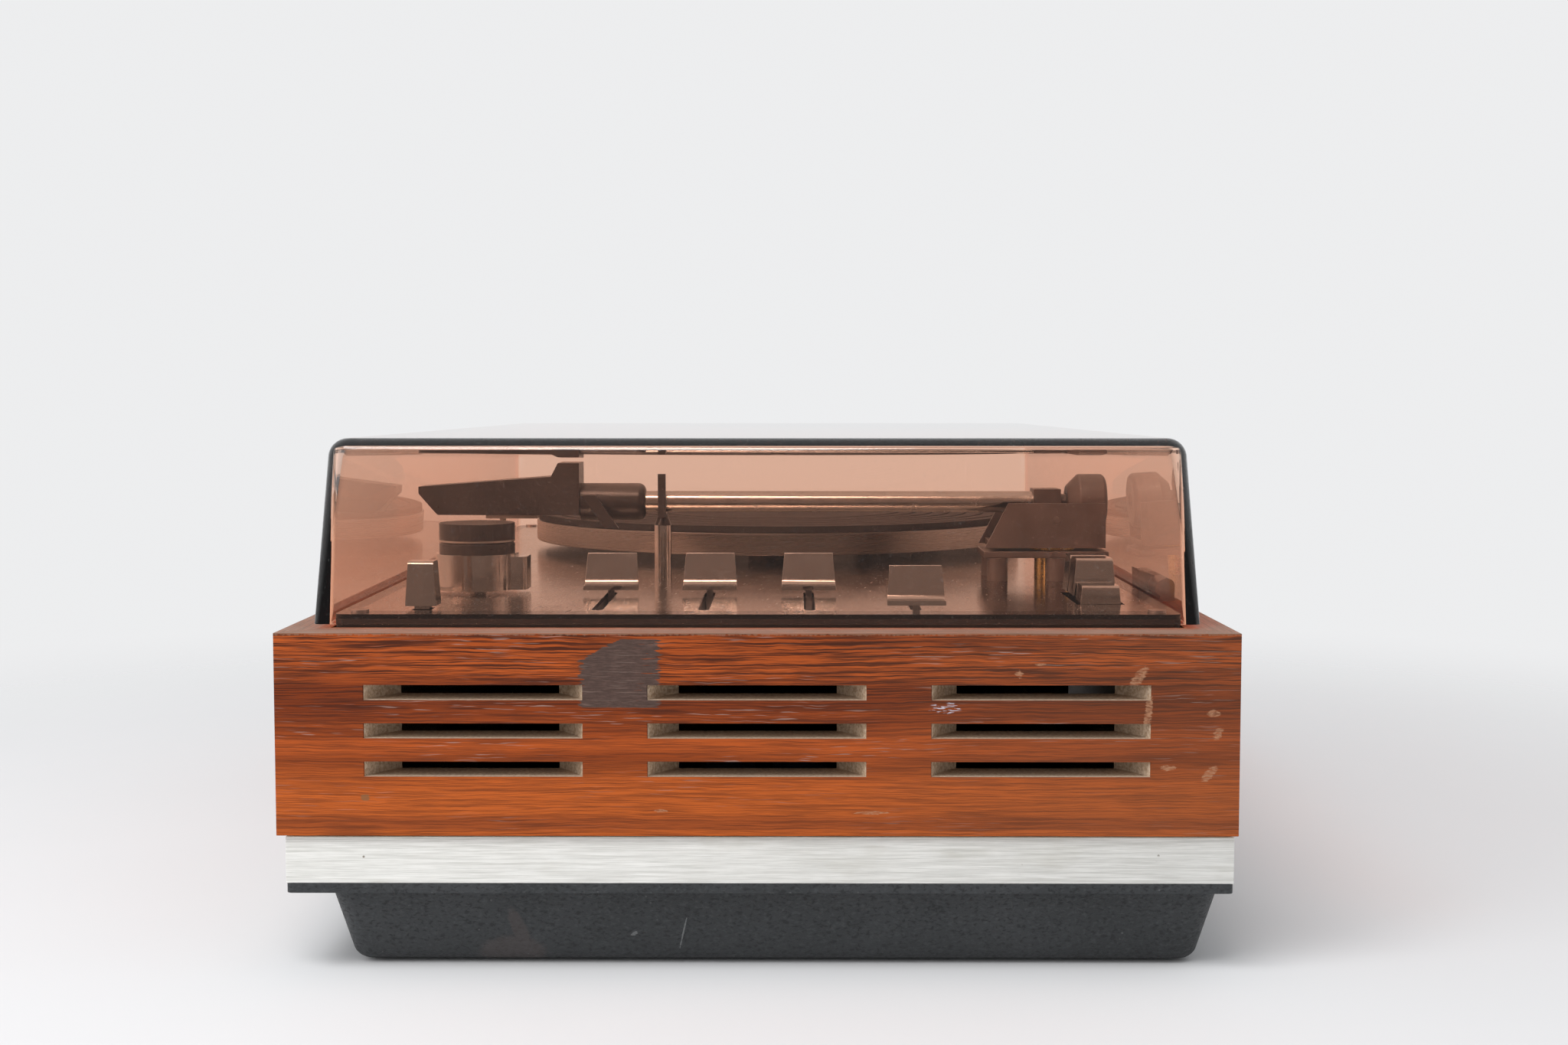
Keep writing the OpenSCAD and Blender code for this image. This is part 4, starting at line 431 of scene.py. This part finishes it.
def smoked_acrylic():
    """Rose-brown clear cover: the tint comes from its depth, so its edges are nearly black."""
    material, n, face, place, output = new_material(
        "smoked_acrylic", Base_Color=(1, 1, 1), Roughness=0.003, Transmission_Weight=1.0, IOR=1.49,
        Coat_Roughness=0.65, Coat_IOR=2.4)
    marks = n.effect(hairlines, place=place, rarity=0.77)["Mask"]
    dust = n.effect(settled_dust, place=place, up=n.facing_up(), amount=0.6, rarity=0.50)
    haze = n.fade(n.noise(place, 18, 4, 0.6), 0.5, 0.75)
    film = n.plus(n.times(marks, 0.25), n.times(haze, 0.005))
    specks = n.times(dust["Grains"], 0.45)
    n.feed(face["Coat Weight"], n.plus(film, specks, clamp=True))
    clear = n.add("ShaderNodeBsdfTransparent", {"Color": (0.92, 0.92, 0.92)}).outputs[0]
    shadow = n.add("ShaderNodeLightPath").outputs["Is Shadow Ray"]
    surface = output.inputs["Surface"].links[0].from_socket
    n.feed(output.inputs["Surface"], n.mixed(shadow, surface, clear))
    smoke = n.add("ShaderNodeVolumeAbsorption", {"Color": (0.915, 0.43, 0.125), "Density": 190.0})
    n.feed(output.inputs["Volume"], smoke.outputs[0])
    return material


def polished_deck():
    """Bright-rolled deck plate, nearly a mirror, with a dark border, hairline scratches and dust."""
    border_x, border_y, border_blur = 0.0100, 0.0050, 0.0004
    material, n, face, place, _ = new_material("polished_deck", 1.0)
    lines = n.effect(brushing, place=place)["Lines"]
    marks = n.effect(hairlines, place=place, scale=0.7)["Mask"]
    dust = n.effect(settled_dust, place=place, up=n.facing_up(), amount=0.25)
    colour = n.tint(n.fade(lines, 0.35, 0.65), (0.36, 0.33, 0.305), (0.42, 0.385, 0.355))
    low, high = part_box("deck_plate")
    middle, reach = (low + high) / 2, (high - low) / 2
    offset = n.split(n.vector("ABSOLUTE", n.vector("SUBTRACT", place, middle)))
    inner_x, inner_y = reach.x - border_x, reach.y - border_y
    border = n.most(n.fade(offset[0], inner_x - border_blur, inner_x),
                    n.fade(offset[1], inner_y - border_blur, inner_y))
    colour = n.tint(border, colour, (0.05, 0.043, 0.040))
    colour = n.tint(n.most(dust["Film"], dust["Grains"]), colour, (0.5, 0.46, 0.42))
    n.feed(face["Base Color"], colour)
    rough = n.plus(n.fade(lines, 0.3, 0.7, 0.06, 0.11), n.times(marks, 0.2))
    n.feed(face["Roughness"], n.plus(rough, n.times(dust["Film"], 0.5)))
    return material


def turned_metal(name, centre, light, dark, roughness):
    """Lathe-turned metal: fine rings about an upright axis."""
    rings_per_metre = 2600
    material, n, face, place, _ = new_material(name, 1.0)
    offset = n.split(n.vector("SUBTRACT", place, (*centre, 0)))
    reach = n.calc("SQRT", n.plus(n.calc("POWER", offset[0], 2), n.calc("POWER", offset[1], 2)))
    along = n.join(n.times(reach, rings_per_metre), n.times(offset[2], rings_per_metre), 0)
    rings = n.noise(along, 1, 3, 0.7)
    n.feed(face["Base Color"], n.tint(rings, dark, light))
    n.feed(face["Roughness"], n.fade(rings, 0.3, 0.7, roughness, roughness + 0.12))
    n.feed(face["Normal"], n.bump(rings, 0.00003, 0.3))
    return material


def plated(name, colour, roughness):
    """Bright plating with finger marks and small pits."""
    material, n, face, place, _ = new_material(name, 1.0)
    smudge = n.noise(place, 90, 4, 0.6)
    pits = n.times(n.fade(n.cells(place, 900), 0.14, 0.08), n.fade(n.noise(place, 260, 1), 0.58, 0.64))
    dull = tuple(0.82 * c for c in colour)
    shade = n.tint(n.fade(smudge, 0.4, 0.75), colour, dull)
    n.feed(face["Base Color"], n.tint(n.times(pits, 0.7), shade, (0.12, 0.10, 0.08)))
    n.feed(face["Roughness"], n.fade(smudge, 0.35, 0.75, roughness, roughness + 0.14))
    return material


def moulded(name, colour, roughness, grain=1400.0, relief=0.00004, metallic=0.0, dust=0.3, ring=None):
    """A plain finish with fine grain, a little unevenness and dust on top; ring is the height
    of a thin bright ring let into the side."""
    material, n, face, place, _ = new_material(name, metallic)
    fine = n.noise(place, grain)
    cloud = n.noise(place, 48, 3)
    light = tuple(min(1.0, 1.22 * c + 0.002) for c in colour)
    dark = tuple(0.82 * c for c in colour)
    shade = n.tint(n.fade(cloud, 0.3, 0.7), dark, light)
    shade = n.tint(n.times(n.fade(fine, 0.5, 0.75), 0.3), shade, light)
    settled = n.effect(settled_dust, place=place, up=n.facing_up(), amount=dust)
    lying = n.times(n.most(settled["Film"], settled["Grains"]), 0.5)
    shade = n.tint(lying, shade, (0.42, 0.38, 0.34))
    if ring is not None:
        off = n.calc("ABSOLUTE", n.minus(n.split(place)[2], ring))
        let_in = n.fade(off, 0.0004, 0.0003)
        shade = n.tint(let_in, shade, (0.46, 0.43, 0.40))
        n.feed(face["Metallic"], let_in)
    n.feed(face["Base Color"], shade)
    n.feed(face["Roughness"], n.fade(fine, 0.25, 0.75, roughness - 0.05, roughness + 0.08))
    n.feed(face["Normal"], n.bump(fine, relief, 0.5))
    return material


platter_low, platter_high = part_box("platter")
platter_centre = ((platter_low.x + platter_high.x) / 2, (platter_low.y + platter_high.y) / 2)
cap_low, cap_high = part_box("selector_cap")
cap_ring = cap_low.z + 0.42 * (cap_high.z - cap_low.z)
black = (0.036, 0.032, 0.031)
chrome = plated("chrome", (0.55, 0.535, 0.52), 0.06)
steel = moulded("plain_steel", (0.52, 0.52, 0.53), 0.34, metallic=1.0)
black_plastic = moulded("black_plastic", black, 0.32)
dark_lacquer = moulded("dark_lacquer", (0.078, 0.066, 0.062), 0.40)
raw_board = moulded("raw_board", (0.40, 0.27, 0.16), 0.75, 500.0, 0.0003)
switch_plastic = moulded("switch_plastic", (0.05, 0.05, 0.055), 0.45)
rubber = moulded("rubber", (0.016, 0.016, 0.017), 0.72, 900.0, 0.0001, dust=0.15)
brass = moulded("brass", (0.62, 0.44, 0.18), 0.28, metallic=1.0)

finishes = {
    "right_panel": teak_panel("teak_right", 1, 0, cad_high.x, marked=True),
    "left_panel": teak_panel("teak_left", 1, 0, cad_low.x),
    "front_panel": teak_panel("teak_front", 0, 1, cad_low.y),
    "rear_panel": teak_panel("teak_rear", 0, 1, cad_high.y),
    "trim_band": brushed_band(),
    "base_tray": grained_tray(),
    "dust_cover": smoked_acrylic(),
    "deck_plate": polished_deck(),
    "platter": turned_metal("turned_platter", platter_centre, (0.34, 0.32, 0.30), (0.24, 0.22, 0.21), 0.24),
    "arm_tube": plated("arm_plating", (0.52, 0.49, 0.46), 0.16),
    "deck_board": moulded("stained_board", (0.012, 0.011, 0.011), 0.6, 600.0),
    "selector_cap": moulded("ringed_cap", black, 0.32, ring=cap_ring),
    "cartridge": moulded("cartridge_plastic", (0.55, 0.53, 0.50), 0.4),
    "transformer_winding": moulded("winding_tape", (0.40, 0.20, 0.06), 0.5),
    "amplifier_board": moulded("laminate", (0.28, 0.17, 0.06), 0.5),
    "capacitors": moulded("capacitor_sleeve", (0.10, 0.14, 0.25), 0.35),
}
shared_finishes = {
    chrome: "slider_knob_1 slider_knob_2 slider_knob_3 slider_knob_4 key_1 key_2 key_3 "
            "selector_skirt power_key arm_rest_post spindle",
    steel: "tray_screws deck_screws bearing_housing motor idler_bracket hinge_brackets hinge_pins "
           "din_sockets slide_pots key_switch_bank",
    black_plastic: "head_shell finger_lift arm_rest_clip socket_plate mains_gland cover_lugs",
    dark_lacquer: "arm_base_plate arm_columns arm_yoke arm_block counterweight transformer_core",
    raw_board: "base_frame corner_blocks support_rails",
    switch_plastic: "selector_switch power_switch",
    rubber: "rubber_feet platter_mat motor_grommets idler_wheel",
    brass: "arm_bush motor_pulley",
}
for finish, names in shared_finishes.items():
    for name in names.split():
        finishes[name] = finish


def make_smoothing():
    """Shades a solid smooth wherever its faces meet at less than a given angle."""
    tree = bpy.data.node_groups.new("smooth_faces", "GeometryNodeTree")
    tree.interface.new_socket("Geometry", in_out="INPUT", socket_type="NodeSocketGeometry")
    limit = tree.interface.new_socket("Angle", in_out="INPUT", socket_type="NodeSocketFloat")
    limit.default_value = math.radians(35)
    tree.interface.new_socket("Geometry", in_out="OUTPUT", socket_type="NodeSocketGeometry")
    n = Nodes(tree)
    given = n.add("NodeGroupInput").outputs
    angle = n.add("GeometryNodeInputMeshEdgeAngle").outputs["Unsigned Angle"]
    shallow = n.add("FunctionNodeCompare", {0: angle, 1: given["Angle"]}, operation="LESS_THAN").outputs[0]
    faces = n.add("GeometryNodeSetShadeSmooth", {"Geometry": given["Geometry"]}, domain="FACE").outputs[0]
    smooth = {"Geometry": faces, "Shade Smooth": shallow}
    edges = n.add("GeometryNodeSetShadeSmooth", smooth, domain="EDGE")
    n.add("NodeGroupOutput", {"Geometry": edges.outputs[0]})
    return tree


smooth_faces = make_smoothing()
# Width of the broken edges in millimetres.
edge_breaks = {
    0.9: "head_shell",
    0.5: "counterweight selector_cap key_1 key_2 key_3",
    0.4: "arm_yoke arm_block arm_base_plate selector_skirt power_key platter finger_lift cartridge",
    0.35: "dust_cover",
    0.3: "trim_band right_panel left_panel front_panel rear_panel arm_rest_clip",
    0.25: "slider_knob_1 slider_knob_2 slider_knob_3 slider_knob_4",
    0.2: "platter_mat",
}
break_width = {name: width / 1000 for width, names in edge_breaks.items() for name in names.split()}
for name, solid in solids.items():
    solid.data.materials.clear()
    solid.data.materials.append(finishes[name])
    weld = solid.modifiers.new("weld", "WELD")
    weld.merge_threshold = 0.000002
    if name in break_width:
        rounding = solid.modifiers.new("edge_break", "BEVEL")
        rounding.width = break_width[name]
        rounding.segments = 2
        rounding.limit_method = "ANGLE"
        rounding.angle_limit = math.radians(38)
    smoothing = solid.modifiers.new("smooth", "NODES")
    smoothing.node_group = smooth_faces
    flatness = solid.modifiers.new("flat_faces", "WEIGHTED_NORMAL")
    flatness.keep_sharp = True


def add_lamp(name, place, target, size, power):
    lamp = bpy.data.lights.new(name, "AREA")
    lamp.shape = "RECTANGLE"
    lamp.size, lamp.size_y = size
    lamp.energy = power
    holder = bpy.data.objects.new(name, lamp)
    scene.collection.objects.link(holder)
    holder.location = place
    holder.rotation_euler = (Vector(target) - Vector(place)).to_track_quat("-Z", "Y").to_euler()


def pale_surroundings():
    """White studio with a dim room behind the camera; a softer level lights the object."""
    backdrop_level, dim_room_level, lighting_level = 0.86, 0.24, 0.62
    world = bpy.data.worlds.new("studio")
    scene.world = world
    world.use_nodes = True
    world.node_tree.nodes.clear()
    n = Nodes(world.node_tree)
    path = n.add("ShaderNodeLightPath").outputs
    towards_room = n.split(n.add("ShaderNodeTexCoord").outputs["Generated"])[0]
    mirrored = n.fade(towards_room, 0.1, 0.75, backdrop_level, dim_room_level)
    bounced = n.most(path["Is Glossy Ray"], path["Is Transmission Ray"])
    level = n.most(n.times(path["Is Camera Ray"], backdrop_level), n.times(bounced, mirrored))
    shown = n.add("ShaderNodeBackground", {"Color": (0.985, 0.99, 1.0), "Strength": level})
    lights = n.add("ShaderNodeBackground", {"Color": (0.97, 0.985, 1.0), "Strength": lighting_level})
    direct = n.most(path["Is Camera Ray"], bounced)
    n.add("ShaderNodeOutputWorld", {"Surface": n.mixed(direct, lights.outputs[0], shown.outputs[0])})


def pale_floor():
    """Floor that carries the shadow and fades into the surroundings away from the object."""
    fade_from, fade_to = 0.25, 0.85
    bpy.ops.mesh.primitive_circle_add(vertices=96, radius=3.0, fill_type="NGON", location=(0, 0, 0))
    floor = bpy.context.object
    floor.name = "studio_floor"
    material, n, face, place, output = new_material("pale_floor", Roughness=0.9, Specular_IOR_Level=0.1)
    mottle = n.noise(place, 8)
    n.feed(face["Base Color"], n.tint(mottle, (0.80, 0.80, 0.81), (0.82, 0.82, 0.83)))
    path = n.add("ShaderNodeLightPath").outputs
    seen = n.most(path["Is Camera Ray"], path["Is Glossy Ray"], path["Is Transmission Ray"])
    far = n.times(n.fade(n.length(place), fade_from, fade_to), seen)
    clear = n.add("ShaderNodeBsdfTransparent").outputs[0]
    surface = output.inputs["Surface"].links[0].from_socket
    n.feed(output.inputs["Surface"], n.mixed(far, surface, clear))
    floor.data.materials.append(material)


pale_surroundings()
pale_floor()
add_lamp("soft_key", place=(0.9, -0.40, 1.42), target=(0.2, 0, 0.15), size=(1.1, 0.42), power=13)
add_lamp("soft_side", place=(1.1, -1.3, 0.8), target=(0, 0, 0.08), size=(0.9, 0.9), power=8)

camera = bpy.data.objects.new("camera", bpy.data.cameras.new("camera"))
scene.collection.objects.link(camera)
camera.data.sensor_width = 36
camera.data.lens = 43.62
camera.data.clip_start = 0.01
pitch, yaw = math.radians(3.665), math.radians(-0.266)
camera.location = (0.834, 0.0115, 0.1862)
look = Vector((-math.cos(pitch) * math.cos(yaw), math.cos(pitch) * math.sin(yaw), -math.sin(pitch)))
camera.rotation_euler = look.to_track_quat("-Z", "Y").to_euler()
scene.camera = camera
scene.view_settings.view_transform = "Standard"
